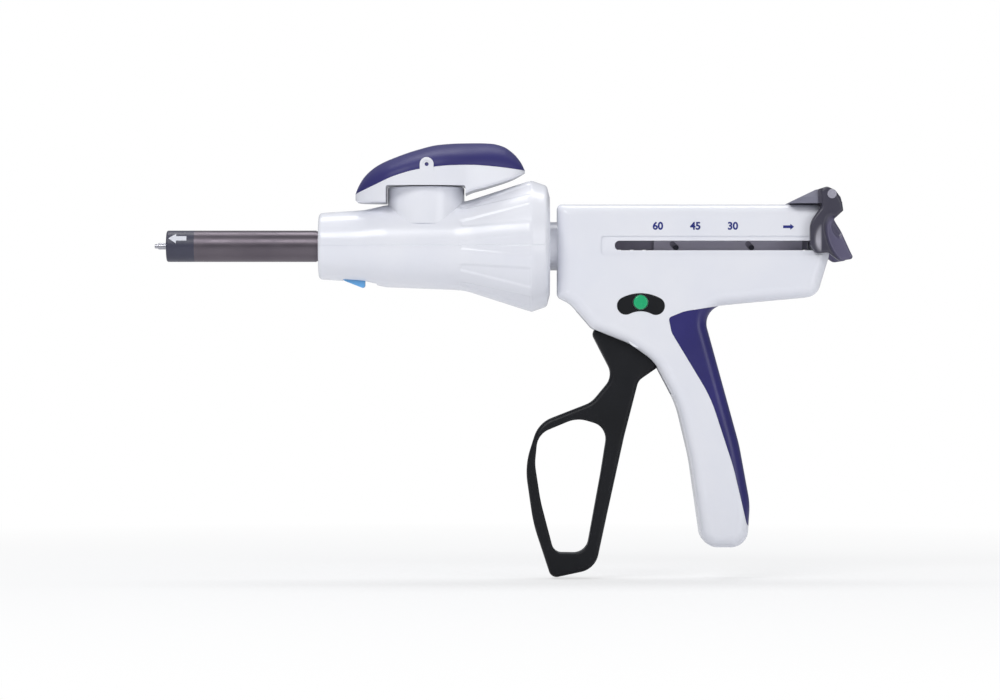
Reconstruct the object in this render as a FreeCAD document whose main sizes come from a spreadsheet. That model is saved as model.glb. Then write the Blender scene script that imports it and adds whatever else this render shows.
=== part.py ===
"""Handle and short shaft of an endoscopic linear stapler, as separate pieces.

Millimetres, +Z up. The shaft lies along X with its mouth at the origin, facing -X.
The grip hangs down along -Z. The instrument's left side is -Y.
"""
import FreeCAD, Part
import math
import os
import re

import Sketcher
from FreeCAD import Vector

DOC = FreeCAD.newDocument("linear_stapler")

# Driving dimensions, in millimetres and degrees

SIZES = {
    # shaft
    "shaft_radius": 6.35,
    "tube_wall": 0.7,
    "load_ring_length": 11.3,
    "tube_end": 120,
    "seat_radius": 6.1,
    "seat_relief": 1,
    "spigot_length": 6,
    "guide_start": 20,
    "guide_length": 44,
    "rod_radius": 1.3,
    "rod_tip": 4.9,
    "rod_head_radius": 2,
    "slide_gap": 0.3,
    "fit_gap": 0.05,
    # articulation link, cam and lever axle
    "link_bottom": 3.4,
    "link_thickness": 1.2,
    "link_half_width": 1.6,
    "link_start": 3,
    "cam_pin_radius": 1,
    "cam_pin_offset": 6,
    "cam_pin_play": 0.15,
    "cam_stroke": 2.5,
    "lever_swing": 45,
    "cam_bottom": 8.8,
    "cam_thickness": 2.6,
    "cam_radius": 11.5,
    "axle_radius": 2.2,
    # rotation collar and its turret
    "collar_start": 61.6,
    "nose_radius": 13.4,
    "collar_wall": 2.3,
    "shoulder_start": 80,
    "shoulder_radius": 14.6,
    "waist_start": 88.7,
    "waist_radius": 16.6,
    "flare_start": 120,
    "flare_radius": 17.8,
    "crest_place": 147,
    "crest_radius": 26.9,
    "collar_end": 155,
    "flute_radius": 6.5,
    "flute_centre": 31,
    "flute_count": 12,
    "bulkhead_place": 112,
    "turret_place": 105,
    "turret_radius": 15.5,
    "turret_top": 23.8,
    "turret_wall": 2.3,
    "turret_room": 0.5,
    # bearing of the collar in the casing
    "hub_start": 146,
    "hub_radius": 9.8,
    "hub_bore": 8,
    "hub_flange": 11.2,
    # articulation lever
    "lever_front": 76.4,
    "lever_rear": 145,
    "lever_half_width": 18,
    "lever_tip_half": 8.5,
    "lever_seat": 24.2,
    "skirt_bottom": 17.4,
    "ear_place": 105.5,
    "ear_rise": 8.3,
    "ear_radius": 2.8,
    "ear_hole": 0.9,
    # casing
    "casing_front": 158,
    "casing_rear": 267.5,
    "barrel_top": 16.6,
    "barrel_bottom": -20.4,
    "half_width": 14,
    "casing_wall": 2.4,
    "edge_radius": 5,
    "grip_bottom": -121.5,
    "slot_start": 181,
    "slot_end": 264.5,
    "slot_height": 3.9,
    "recess_start": 175.4,
    "recess_height": 7.7,
    "recess_depth": 0.6,
    "rib_thickness": 1.6,
    "rib_pitch": 22,
    "rib_count": 5,
    "rib_start": 176,
    # firing bar, release plate and return knobs
    "rack_front": 165,
    "rack_length": 100,
    "rack_top": 2.6,
    "rack_root": -1.4,
    "rack_half_width": 2.6,
    "tooth_depth": 2,
    "tooth_pitch": 5,
    "tooth_count": 16,
    "release_pin_radius": 1,
    "release_pin_front": 206,
    "release_pin_pitch": 30.5,
    "plate_thickness": 1.2,
    "plate_start": 197,
    "plate_end": 257,
    "release_travel": 1.4,
    "release_pin_height": -0.6,
    "release_play": 0.15,
    "coupling_setback": 4.1,
    "coupling_radius": 1.6,
    "saddle_half_width": 19,
    "saddle_gap": 0.35,
    # trigger, pawl and their pins
    "trigger_place": 191,
    "trigger_height": -36,
    "trigger_half_width": 7,
    "trigger_pin_radius": 2.5,
    "trigger_swing": 25,
    "trigger_edge": 1.8,
    "loop_edge": 0.8,
    "side_gap": 0.3,
    "pawl_place": 196.5,
    "pawl_height": -10.5,
    "pawl_pin_radius": 1.5,
    "pawl_half_width": 2,
    # safety button, locking member
    "button_place": 191.4,
    "button_height": -22.8,
    "button_radius": 2.9,
    "button_proud": 1.2,
    "button_travel": 3,
    "bezel_radius": 13,
    "bezel_half_width": 3.6,
    "bezel_depth": 1.2,
    "lock_place": 177,
    "lock_height": -17,
    "lock_pin_radius": 1.3,
    "lock_side": 8.2,
    "lock_thickness": 2,
    # unload button
    "unload_place": 71.7,
    "unload_length": 8.6,
    "unload_half_width": 4,
    "unload_travel": 4.5,
    "unload_base": -9.2,
    "unload_tip": -17.3,
    # springs
    "unload_coil_radius": 1.45,
    "unload_wire_radius": 0.3,
    "unload_coil_height": -8.6,
}

COUPLING_PLACE = "(rack_front + rack_length - coupling_setback)"

SHEET = DOC.addObject("Spreadsheet::Sheet", "Sizes")
for row, (alias, size) in enumerate(SIZES.items(), start=1):
    SHEET.set(f"A{row}", alias)
    SHEET.set(f"B{row}", str(size))
    SHEET.setAlias(f"B{row}", alias)
DOC.recompute()

NODES = []


def bound(text):
    """Expression text with every alias written as a cell of the sheet."""
    words = r"(?<![\w.])([a-z]+(?:_[a-z]+)+)(?!\w)"
    return re.sub(words, r"Sizes.\1", str(text))


def value(text):
    """Number that an expression gives now."""
    return float(SHEET.evalExpression(bound(text)))


def node(obj, name):
    """Give the piece the label that names its file."""
    obj.Label = name
    NODES.append(obj)
    return obj


# Sketches, bodies and features

def new_body(name):
    """A body for one piece, listed under its name."""
    return node(DOC.addObject("PartDesign::Body", "body_" + name), name)


def new_sketch(body, plane, level=None):
    """Sketch on one of the body's origin planes, moved along its normal."""
    sketch = body.newObject("Sketcher::SketchObject", body.Name + "_sketch")
    face = next(part for part in body.Origin.OriginFeatures if part.Role == plane + "_Plane")
    sketch.AttachmentSupport = [(face, "")]
    sketch.MapMode = "FlatFace"
    if level is not None:
        sketch.AttachmentOffset = FreeCAD.Placement(Vector(0, 0, value(level)), FreeCAD.Rotation())
        sketch.setExpression("AttachmentOffset.Base.z", bound(level))
    return sketch


def tie(sketch, kind, *where, size):
    """One dimension of the sketch, bound to its expression."""
    number = sketch.addConstraint(Sketcher.Constraint(kind, *where, value(size)))
    sketch.setExpression(f"Constraints[{number}]", bound(size))


def unit(vector):
    """The same direction with length one."""
    return Vector(vector).normalize()


def outline(sketch, corners):
    """Closed outline through corners (x, y) or (x, y, radius), radius rounding the corner."""
    spots = [Vector(value(c[0]), value(c[1]), 0) for c in corners]
    rounds = [value(c[2]) if len(c) > 2 else 0 for c in corners]
    count = len(corners)
    starts, ends, centres = [], [], []
    for i, spot in enumerate(spots):
        back = unit(spots[i - 1] - spot)
        ahead = unit(spots[(i + 1) % count] - spot)
        half = back.getAngle(ahead) / 2
        reach = rounds[i] / math.tan(half)
        starts.append(spot + back * reach)
        ends.append(spot + ahead * reach)
        centres.append(spot + unit(back + ahead) * (rounds[i] / math.sin(half)))
    first = sketch.GeometryCount
    lines = [Part.LineSegment(ends[i], starts[(i + 1) % count]) for i in range(count)]
    sketch.addGeometry(lines, False)
    rules = []
    for i, spot in enumerate(spots):
        before = first + (i - 1) % count
        after = first + i
        if rounds[i] == 0:
            rules.append(Sketcher.Constraint("Coincident", before, 2, after, 1))
            continue
        turn = (starts[i] - centres[i]).cross(ends[i] - centres[i]).z
        near = starts[i] if turn > 0 else ends[i]
        far = ends[i] if turn > 0 else starts[i]
        middle = centres[i] + unit(spot - centres[i]) * rounds[i]
        arc = sketch.addGeometry(Part.Arc(near, middle, far), False)
        corner = sketch.addGeometry(Part.Point(spot), True)
        rules.append(Sketcher.Constraint("Tangent", before, 2, arc, 1 if turn > 0 else 2))
        rules.append(Sketcher.Constraint("Tangent", after, 1, arc, 2 if turn > 0 else 1))
        rules.append(Sketcher.Constraint("PointOnObject", corner, 1, before))
        rules.append(Sketcher.Constraint("PointOnObject", corner, 1, after))
        rounds[i] = (arc, corner)
    sketch.addConstraint(rules)
    for i, corner in enumerate(corners):
        if rounds[i] == 0:
            place = (first + i, 1)
        else:
            place = (rounds[i][1], 1)
            tie(sketch, "Radius", rounds[i][0], size=corner[2])
        tie(sketch, "DistanceX", -1, 1, *place, size=corner[0])
        tie(sketch, "DistanceY", -1, 1, *place, size=corner[1])


def circle(sketch, x, y, radius):
    """Circle with its centre and radius bound."""
    shape = Part.Circle(Vector(value(x), value(y), 0), Vector(0, 0, 1), value(radius))
    ring = sketch.addGeometry(shape, False)
    tie(sketch, "Radius", ring, size=radius)
    tie(sketch, "DistanceX", -1, 1, ring, 3, size=x)
    tie(sketch, "DistanceY", -1, 1, ring, 3, size=y)


def block(sketch, x_low, y_low, x_high, y_high, radius=None):
    """Upright rectangle, with round corners if a radius is given."""
    corners = [(x_low, y_low), (x_high, y_low), (x_high, y_high), (x_low, y_high)]
    if radius is not None:
        corners = [corner + (radius,) for corner in corners]
    outline(sketch, corners)


def grow(body, kind, sketch, length=None, reverse=False, symmetric=False):
    """Pad or pocket of the sketch: through everything where no length is given."""
    feature = body.newObject("PartDesign::" + kind, body.Name + "_" + kind.lower())
    feature.Profile = sketch
    feature.Reversed = reverse
    if symmetric:
        feature.SideType = "Symmetric"
    if length is None:
        feature.Type = "ThroughAll"
    else:
        feature.Length = value(length)
        feature.setExpression("Length", bound(length))
    sketch.Visibility = False
    DOC.recompute()
    return feature


def pad(body, sketch, length, **options):
    """Add the sketch's outline over a length."""
    return grow(body, "Pad", sketch, length, **options)


def pocket(body, sketch, length=None, **options):
    """Cut the sketch's outline away."""
    return grow(body, "Pocket", sketch, length, **options)


def turn(body, sketch, kind="Revolution", axis="H_Axis", angle=360, reverse=False):
    """Revolve or groove the sketch about one of its own axes."""
    feature = body.newObject("PartDesign::" + kind, body.Name + "_" + kind.lower())
    feature.Profile = sketch
    feature.ReferenceAxis = (sketch, [axis])
    feature.Angle = angle
    feature.Reversed = reverse
    DOC.recompute()
    return feature


def repeat(body, feature, sketch, count, span, axis="N_Axis"):
    """Copies of a feature round the sketch's normal, over a span in degrees."""
    pattern = body.newObject("PartDesign::PolarPattern", body.Name + "_pattern")
    pattern.Originals = [feature]
    pattern.Axis = (sketch, [axis])
    pattern.Angle = value(span)
    pattern.setExpression("Angle", bound(span))
    pattern.Occurrences = int(value(count))
    pattern.setExpression("Occurrences", bound(count))
    body.Tip = pattern
    DOC.recompute()
    return pattern


def along(body, feature, sketch, count, length, axis="H_Axis"):
    """Copies of a feature in a row along one of the sketch's axes."""
    pattern = body.newObject("PartDesign::LinearPattern", body.Name + "_row")
    pattern.Originals = [feature]
    pattern.Direction = (sketch, [axis])
    pattern.Length = value(length)
    pattern.setExpression("Length", bound(length))
    pattern.Occurrences = int(value(count))
    pattern.setExpression("Occurrences", bound(count))
    body.Tip = pattern
    DOC.recompute()
    return pattern


def soften(body, radius, wanted, kind="Fillet"):
    """Fillet or chamfer the edges of the body's tip that the test picks."""
    base = body.Tip
    names = [f"Edge{i}" for i, edge in enumerate(base.Shape.Edges, start=1) if wanted(edge)]
    feature = body.newObject("PartDesign::" + kind, body.Name + "_" + kind.lower())
    feature.Base = (base, names)
    size = "Radius" if kind == "Fillet" else "Size"
    setattr(feature, size, value(radius))
    feature.setExpression(size, bound(radius))
    DOC.recompute()
    return feature


def flat_at(axis, level, slack=0.01):
    """Test for edges that lie wholly in a plane square to an axis."""
    def test(edge):
        box = edge.BoundBox
        low = getattr(box, axis + "Min")
        high = getattr(box, axis + "Max")
        return abs(low - level) < slack and abs(high - level) < slack
    return test


# Shaft, its ring, its guide and the rods in it

def make_tube():
    """Grey shaft tube, turned down where the collar grips it, with the slot for the link's pin."""
    body = new_body("shaft_tube")
    profile = new_sketch(body, "XZ")
    outline(profile, [
        ("load_ring_length", "shaft_radius - tube_wall"),
        ("tube_end", "shaft_radius - tube_wall"),
        ("tube_end", "seat_radius"),
        ("collar_start - seat_relief", "seat_radius"),
        ("collar_start - seat_relief", "shaft_radius"),
        ("load_ring_length", "shaft_radius"),
    ])
    turn(body, profile)
    slot = new_sketch(body, "XY")
    middle = "turret_place + cam_pin_offset"
    reach = "cam_stroke + cam_pin_radius + slide_gap"
    half = "cam_pin_radius + slide_gap"
    block(slot, f"{middle} - ({reach})", f"-({half})", f"{middle} + {reach}", half)
    pocket(body, slot, "shaft_radius + 1", reverse=True)


def make_load_ring():
    """Ring at the mouth, with a spigot in the tube and two grooves for the unit's pins."""
    body = new_body("load_ring")
    profile = new_sketch(body, "XZ")
    outline(profile, [
        ("0", "shaft_radius - 1.3", "0.3"),
        ("0", "shaft_radius", "0.8"),
        ("load_ring_length", "shaft_radius"),
        ("load_ring_length", "shaft_radius - tube_wall - fit_gap"),
        ("load_ring_length + spigot_length", "shaft_radius - tube_wall - fit_gap"),
        ("load_ring_length + spigot_length", "shaft_radius - 1.3"),
    ])
    turn(body, profile)
    groove = new_sketch(body, "YZ")
    block(groove, "shaft_radius - 1.6", "-1.1", "shaft_radius - 0.7", "1.1")
    block(groove, "0.7 - shaft_radius", "-1.1", "1.6 - shaft_radius", "1.1")
    pocket(body, groove, "load_ring_length - 3", reverse=True)


def make_rod_guide():
    """Guide inside the tube: a bore for the control rod and a groove for the link."""
    body = new_body("rod_guide")
    profile = new_sketch(body, "XZ")
    block(profile, "guide_start", "rod_radius + fit_gap", "guide_start + guide_length",
          "shaft_radius - tube_wall - fit_gap")
    turn(body, profile)
    groove = new_sketch(body, "YZ", "guide_start")
    block(groove, "-(link_half_width + slide_gap)", "link_bottom - slide_gap",
          "link_half_width + slide_gap", "shaft_radius")
    pocket(body, groove, "guide_length", reverse=True)


def make_control_rod():
    """Rod that drives the jaws, with a head at the mouth and a swivel head in the rack."""
    body = new_body("control_rod")
    profile = new_sketch(body, "XZ")
    outline(profile, [
        ("-rod_tip", "0"),
        ("-rod_tip", "0.9", "0.3"),
        ("-rod_tip + 1.4", "0.9"),
        ("-rod_tip + 1.4", "rod_radius", "0.3"),
        ("rack_front + 3", "rod_radius"),
        ("rack_front + 3", "rod_head_radius"),
        ("rack_front + 5", "rod_head_radius"),
        ("rack_front + 5", "0"),
    ])
    turn(body, profile)


def make_link():
    """Flat link from the mouth back to the lever's cam, with its follower pin."""
    body = new_body("articulation_link")
    side = new_sketch(body, "XZ")
    pin = "turret_place + cam_pin_offset"
    block(side, "link_start", "link_bottom", f"{pin} + 4", "link_bottom + link_thickness")
    pad(body, side, "2 * link_half_width", symmetric=True)
    hook = new_sketch(body, "XZ")
    block(hook, "link_start", "link_bottom - 1.2", "link_start + 2", "link_bottom + 0.4")
    pad(body, hook, "link_half_width", symmetric=True)
    post = new_sketch(body, "XY", "link_bottom + link_thickness / 2")
    circle(post, pin, "0", "cam_pin_radius")
    pad(body, post, "cam_bottom + cam_thickness - link_bottom - link_thickness / 2 - 0.3")


# Rotation collar

def collar_shell(body, upper):
    """Half of the collar: a thick revolved wall with nose, waist and flare."""
    profile = new_sketch(body, "XY")
    inner = "waist_radius - collar_wall"
    bore = "seat_radius + fit_gap"
    outline(profile, [
        ("collar_start", bore),
        ("collar_start", "nose_radius", "1.6"),
        ("shoulder_start", "shoulder_radius", "20"),
        ("waist_start", "waist_radius", "14"),
        ("flare_start", "flare_radius", "30"),
        ("crest_place", "crest_radius", "4"),
        ("collar_end - 1.2", "crest_radius - 2.4", "2"),
        ("collar_end", "crest_radius - 7", "0.8"),
        ("collar_end", "hub_radius + fit_gap"),
        ("collar_end - 2.4", "hub_radius + fit_gap"),
        ("collar_end - 2.4", f"{inner} + 1"),
        ("waist_start + 1", inner, "6"),
        ("shoulder_start", "shoulder_radius - collar_wall", "10"),
        ("collar_start + collar_wall", "nose_radius - collar_wall", "1"),
        ("collar_start + collar_wall", bore),
    ])
    turn(body, profile, angle=180, reverse=not upper)
    wall = new_sketch(body, "XY")
    block(wall, "bulkhead_place + 4", bore, "bulkhead_place + 6", f"{inner} + 1")
    turn(body, wall, angle=180, reverse=not upper)


def cut_flutes(body, upper):
    """Finger flutes round the flare, half of them in each half of the collar."""
    sign = 1 if upper else -1
    first = new_sketch(body, "YZ", "flare_start")
    step = "360 / flute_count / 2"
    circle(first, f"flute_centre * cos({step} * 1 deg)", f"{sign} * flute_centre * sin({step} * 1 deg)",
           "flute_radius")
    cut = pocket(body, first, "collar_end - flare_start + 2", reverse=True)
    pattern = repeat(body, cut, first, "flute_count / 2", "180 - 360 / flute_count")
    pattern.Reversed = not upper
    DOC.recompute()


def make_collar_upper():
    """Upper half of the rotation collar with the lever's turret."""
    body = new_body("collar_upper")
    collar_shell(body, True)
    tower = new_sketch(body, "XY", "cam_bottom")
    circle(tower, "turret_place", "0", "turret_radius")
    pad(body, tower, "turret_top - cam_bottom")
    room = new_sketch(body, "XY", "shaft_radius + slide_gap")
    circle(room, "turret_place", "0", "turret_radius - turret_wall")
    pocket(body, room, "turret_top - turret_wall - shaft_radius - slide_gap", reverse=True)
    hole = new_sketch(body, "XY")
    circle(hole, "turret_place", "0", "axle_radius + fit_gap")
    pocket(body, hole, "turret_top + 1", reverse=True)
    cut_flutes(body, True)


def make_collar_lower():
    """Lower half of the rotation collar with the unload button's slot."""
    body = new_body("collar_lower")
    collar_shell(body, False)
    slot = new_sketch(body, "XY")
    block(slot, "unload_place - slide_gap", "-(unload_half_width + slide_gap)",
          "unload_place + unload_length + unload_travel + slide_gap", "unload_half_width + slide_gap")
    pocket(body, slot, "waist_radius + 2")
    cut_flutes(body, False)


def make_hub_ring():
    """Bearing ring that holds the collar to the casing's front wall."""
    body = new_body("hub_ring")
    profile = new_sketch(body, "XZ")
    behind = "casing_front + casing_wall + slide_gap"
    outline(profile, [
        ("hub_start", "hub_bore"),
        ("hub_start", "hub_radius + 2"),
        ("collar_end - 2.4 - fit_gap", "hub_radius + 2"),
        ("collar_end - 2.4 - fit_gap", "hub_radius"),
        (behind, "hub_radius"),
        (behind, "hub_flange"),
        (f"{behind} + 2.4", "hub_flange"),
        (f"{behind} + 2.4", "hub_bore"),
    ])
    turn(body, profile)


# Articulation lever, its axle and its cam

def lever_plan():
    """Plan outline of the lever, blunt in front, round over the turret, narrow behind."""
    return [
        ("lever_front", "-lever_tip_half", "5"),
        ("turret_place - 13", "-lever_half_width", "12"),
        ("turret_place + 13", "-lever_half_width", "12"),
        ("lever_rear", "-lever_tip_half", "6"),
        ("lever_rear", "lever_tip_half", "6"),
        ("turret_place + 13", "lever_half_width", "12"),
        ("turret_place - 13", "lever_half_width", "12"),
        ("lever_front", "lever_tip_half", "5"),
    ]


def trim_to_plan(body):
    """Cut a lever piece back to the lever's plan outline."""
    trim = new_sketch(body, "XY")
    block(trim, "lever_front - 20", "-lever_half_width - 20", "lever_rear + 20", "lever_half_width + 20")
    outline(trim, lever_plan())
    pocket(body, trim, "100", reverse=True)


def make_lever_base():
    """White underside of the lever, with a skirt round the turret and a small ear."""
    body = new_body("lever_base")
    side = new_sketch(body, "XZ")
    outline(side, [
        ("lever_front - 1", "skirt_bottom", "1"),
        ("turret_place - turret_radius - turret_room", "skirt_bottom", "0.4"),
        ("turret_place - turret_radius - turret_room", "lever_seat", "0.4"),
        ("turret_place + turret_radius + turret_room", "lever_seat", "0.4"),
        ("turret_place + turret_radius + turret_room", "skirt_bottom + 3.4", "0.4"),
        ("turret_place + 35", "skirt_bottom + 9.6"),
        ("lever_rear + 1", "skirt_bottom + 12.6"),
        ("lever_rear + 1", "lever_seat + 6.3"),
        ("turret_place + 29", "lever_seat + 7.6", "20"),
        ("turret_place + 3", "lever_seat + 7"),
        ("turret_place - 16", "lever_seat + 2.6", "30"),
        ("lever_front - 1", "lever_seat - 3.4"),
    ])
    pad(body, side, "2 * lever_half_width + 8", symmetric=True)
    trim_to_plan(body)
    ear = new_sketch(body, "XZ", "lever_half_width - 1.2")
    circle(ear, "ear_place", "lever_seat + ear_rise", "ear_radius")
    pad(body, ear, "1.8")
    eye = new_sketch(body, "XZ", "lever_half_width - 1.4")
    circle(eye, "ear_place", "lever_seat + ear_rise", "ear_hole")
    pocket(body, eye, "3", reverse=True)
    bore = new_sketch(body, "XY")
    circle(bore, "turret_place", "0", "axle_radius + fit_gap")
    pocket(body, bore, "lever_seat + 4", reverse=True)


def make_lever_cap():
    """Navy arched top of the lever, a finger wing in front and behind."""
    body = new_body("lever_cap")
    side = new_sketch(body, "XZ")
    outline(side, [
        ("lever_front - 1", "lever_seat - 3.3"),
        ("turret_place - 16", "lever_seat + 2.7", "30"),
        ("turret_place + 3", "lever_seat + 7.1"),
        ("turret_place + 29", "lever_seat + 7.7", "20"),
        ("lever_rear + 1", "lever_seat + 6.4"),
        ("lever_rear - 1", "lever_seat + 10", "4"),
        ("turret_place + 28", "lever_seat + 17.9", "14"),
        ("turret_place + 2", "lever_seat + 16.2", "60"),
        ("turret_place - 26", "lever_seat + 4.6", "10"),
    ])
    pad(body, side, "2 * lever_half_width + 8", symmetric=True)
    trim_to_plan(body)
    notch = new_sketch(body, "XZ", "lever_half_width - 1.4")
    circle(notch, "ear_place", "lever_seat + ear_rise", "ear_radius + slide_gap")
    pocket(body, notch, "12", reverse=True)


def make_lever_axle():
    """Vertical axle that joins lever and cam through the turret's roof."""
    body = new_body("lever_axle")
    post = new_sketch(body, "XY", "cam_bottom + cam_thickness")
    circle(post, "turret_place", "0", "axle_radius")
    pad(body, post, "lever_seat + 3.5 - cam_bottom - cam_thickness")


def cam_curve(offset, start, stop, steps=12):
    """Points of the cam slot's wall, an even distance from the pin's path.

    The path's radius falls evenly as the angle grows.
    """
    fall = value("cam_stroke") / math.radians(value("lever_swing"))
    points = []
    for i in range(steps + 1):
        angle = math.radians(start + (stop - start) * i / steps)
        reach = value("cam_pin_offset") - fall * angle
        outward = Vector(math.cos(angle), math.sin(angle), 0)
        along_path = Vector(-math.sin(angle), math.cos(angle), 0) * reach - outward * fall
        normal = Vector(along_path.y, -along_path.x, 0).normalize()
        points.append(outward * reach + normal * offset)
    return points


def make_lever_cam():
    """Cam disc under the lever with a spiral slot that pulls the link to and fro."""
    radius = value("cam_radius")
    thick = value("cam_thickness")
    swing = value("lever_swing")
    half = value("cam_pin_radius + cam_pin_play")
    disc = Part.makeCylinder(radius, thick)
    outer = Part.BSplineCurve()
    outer.interpolate(cam_curve(half, -swing, swing))
    inner = Part.BSplineCurve()
    inner.interpolate(cam_curve(-half, -swing, swing))
    sides = [outer.toShape(), inner.toShape()]
    sides.append(Part.makeLine(outer.StartPoint, inner.StartPoint))
    sides.append(Part.makeLine(outer.EndPoint, inner.EndPoint))
    slot = Part.Face(Part.Wire(Part.__sortEdges__(sides))).extrude(Vector(0, 0, thick))
    disc = disc.cut(slot)
    for angle in (-swing, swing):
        end = cam_curve(0, angle, angle, 1)[0]
        disc = disc.cut(Part.makeCylinder(half, thick, end))
    shape = node(DOC.addObject("Part::Feature", "lever_cam_shape"), "lever_cam")
    shape.Shape = disc
    shape.Placement = FreeCAD.Placement(Vector(value("turret_place"), 0, value("cam_bottom")),
                                        FreeCAD.Rotation())


# Casing halves, grip strap and bezels

CASING_OUTLINE = [
    ("casing_front", "barrel_top", "1.5"),
    ("casing_rear", "barrel_top", "6"),
    ("casing_rear", "-4", "9"),
    ("casing_rear - 5", "barrel_bottom", "6"),
    ("236", "barrel_bottom - 2.4", "30"),
    ("216", "-24.8", "7.5"),
    ("231.2", "-80", "60"),
    ("235.6", "-104", "30"),
    ("234.4", "grip_bottom", "7"),
    ("216.4", "grip_bottom", "7"),
    ("211.4", "-86", "60"),
    ("206.2", "-64", "40"),
    ("197", "-46.5", "16"),
    ("187", "-39.4", "16"),
    ("172", "-33.4", "5.5"),
    ("163.4", "-23.4", "9"),
    ("casing_front", "-20.6", "2.5"),
]


STRAP_EDGE = [
    ("202.6", "-29", "1.5"),
    ("209", "-26.4", "12"),
    ("227.5", "-23.6"),
    ("260", "-23.6"),
    ("260", "grip_bottom + 8"),
    ("234.4", "grip_bottom + 8", "3"),
    ("228.6", "-89", "60"),
    ("219.5", "-61", "60"),
    ("203.8", "-35", "6"),
]

STRAP_EDGE_ROUND = [corner if len(corner) > 2 else corner + ("0.7",) for corner in STRAP_EDGE]


def inset(corners, wall):
    """The outline moved inwards by a wall, its corners and roundings following."""
    spots = [Vector(value(c[0]), value(c[1]), 0) for c in corners]
    area = sum(spots[i - 1].cross(spot).z for i, spot in enumerate(spots))
    moved = []
    for i, spot in enumerate(spots):
        back = unit(spots[i - 1] - spot)
        ahead = unit(spots[(i + 1) % len(spots)] - spot)
        half = back.getAngle(ahead) / 2
        convex = ahead.cross(back).z * area > 0
        way = unit(back + ahead) * ((1 if convex else -1) / math.sin(half))
        old = value(corners[i][2])
        limit = max(old - value(wall), 0.6)
        round_text = f"{old} + {wall}" if not convex else f"{limit}"
        moved.append((f"{corners[i][0]} + {way.x:.6f} * {wall}", f"{corners[i][1]} + {way.y:.6f} * {wall}",
                      round_text))
    return moved


def hollow_shell(body, width, cavity, **way):
    """Casing form from the side outline: rounded outer edges and an even wall."""
    form = new_sketch(body, "XZ")
    outline(form, CASING_OUTLINE)
    symmetric = way.get("symmetric", False)
    reverse = way.get("reverse", False)
    pad(body, form, width, symmetric=symmetric, reverse=reverse)
    level = value("half_width")
    tests = [flat_at("Y", level), flat_at("Y", -level)]
    soften(body, "edge_radius", lambda edge: any(test(edge) for test in tests))
    room = new_sketch(body, "XZ")
    outline(room, inset(CASING_OUTLINE, "casing_wall"))
    pocket(body, room, cavity, symmetric=symmetric, reverse=not reverse)


def bean(sketch, centre_x, centre_y, radius, half, left, right):
    """Bent slot: two concentric arcs closed by round ends, from one angle to another."""
    centre = Vector(value(centre_x), value(centre_y), 0)
    middle = value(radius)
    thin = value(half)
    angles = (math.radians(value(right)), math.radians(value(left)))
    axis = Vector(0, 0, 1)
    outer = Part.ArcOfCircle(Part.Circle(centre, axis, middle + thin), *angles)
    inner = Part.ArcOfCircle(Part.Circle(centre, axis, middle - thin), *angles)
    first = sketch.addGeometry([outer, inner], False)[0]
    ends = []
    for angle, start in zip(angles, (angles[0] + math.pi, angles[1])):
        spot = centre + Vector(math.cos(angle), math.sin(angle), 0) * middle
        ends.append(Part.ArcOfCircle(Part.Circle(spot, axis, thin), start, start + math.pi))
    sketch.addGeometry(ends, False)
    rules = [Sketcher.Constraint("Coincident", first, 3, first + 1, 3)]
    links = ((0, 1, 2, 2), (1, 1, 2, 1), (0, 2, 3, 1), (1, 2, 3, 2))
    for arc, arc_end, cap, cap_end in links:
        rules.append(Sketcher.Constraint("Tangent", first + arc, arc_end, first + cap, cap_end))
    sketch.addConstraint(rules)
    tie(sketch, "DistanceX", -1, 1, first, 3, size=centre_x)
    tie(sketch, "DistanceY", -1, 1, first, 3, size=centre_y)
    tie(sketch, "Radius", first, size=f"{radius} + {half}")
    tie(sketch, "Radius", first + 1, size=f"{radius} - ({half})")
    for cap, angle in ((2, right), (3, left)):
        tie(sketch, "DistanceX", -1, 1, first + cap, 3,
            size=f"{centre_x} + ({radius}) * cos(({angle}) * 1 deg)")


def bezel_shape(sketch, margin):
    """Bean outline round the safety button, grown by a margin."""
    bean(sketch, "button_place", "button_height - bezel_radius", "bezel_radius",
         f"bezel_half_width + {margin}", "117", "62")


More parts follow.
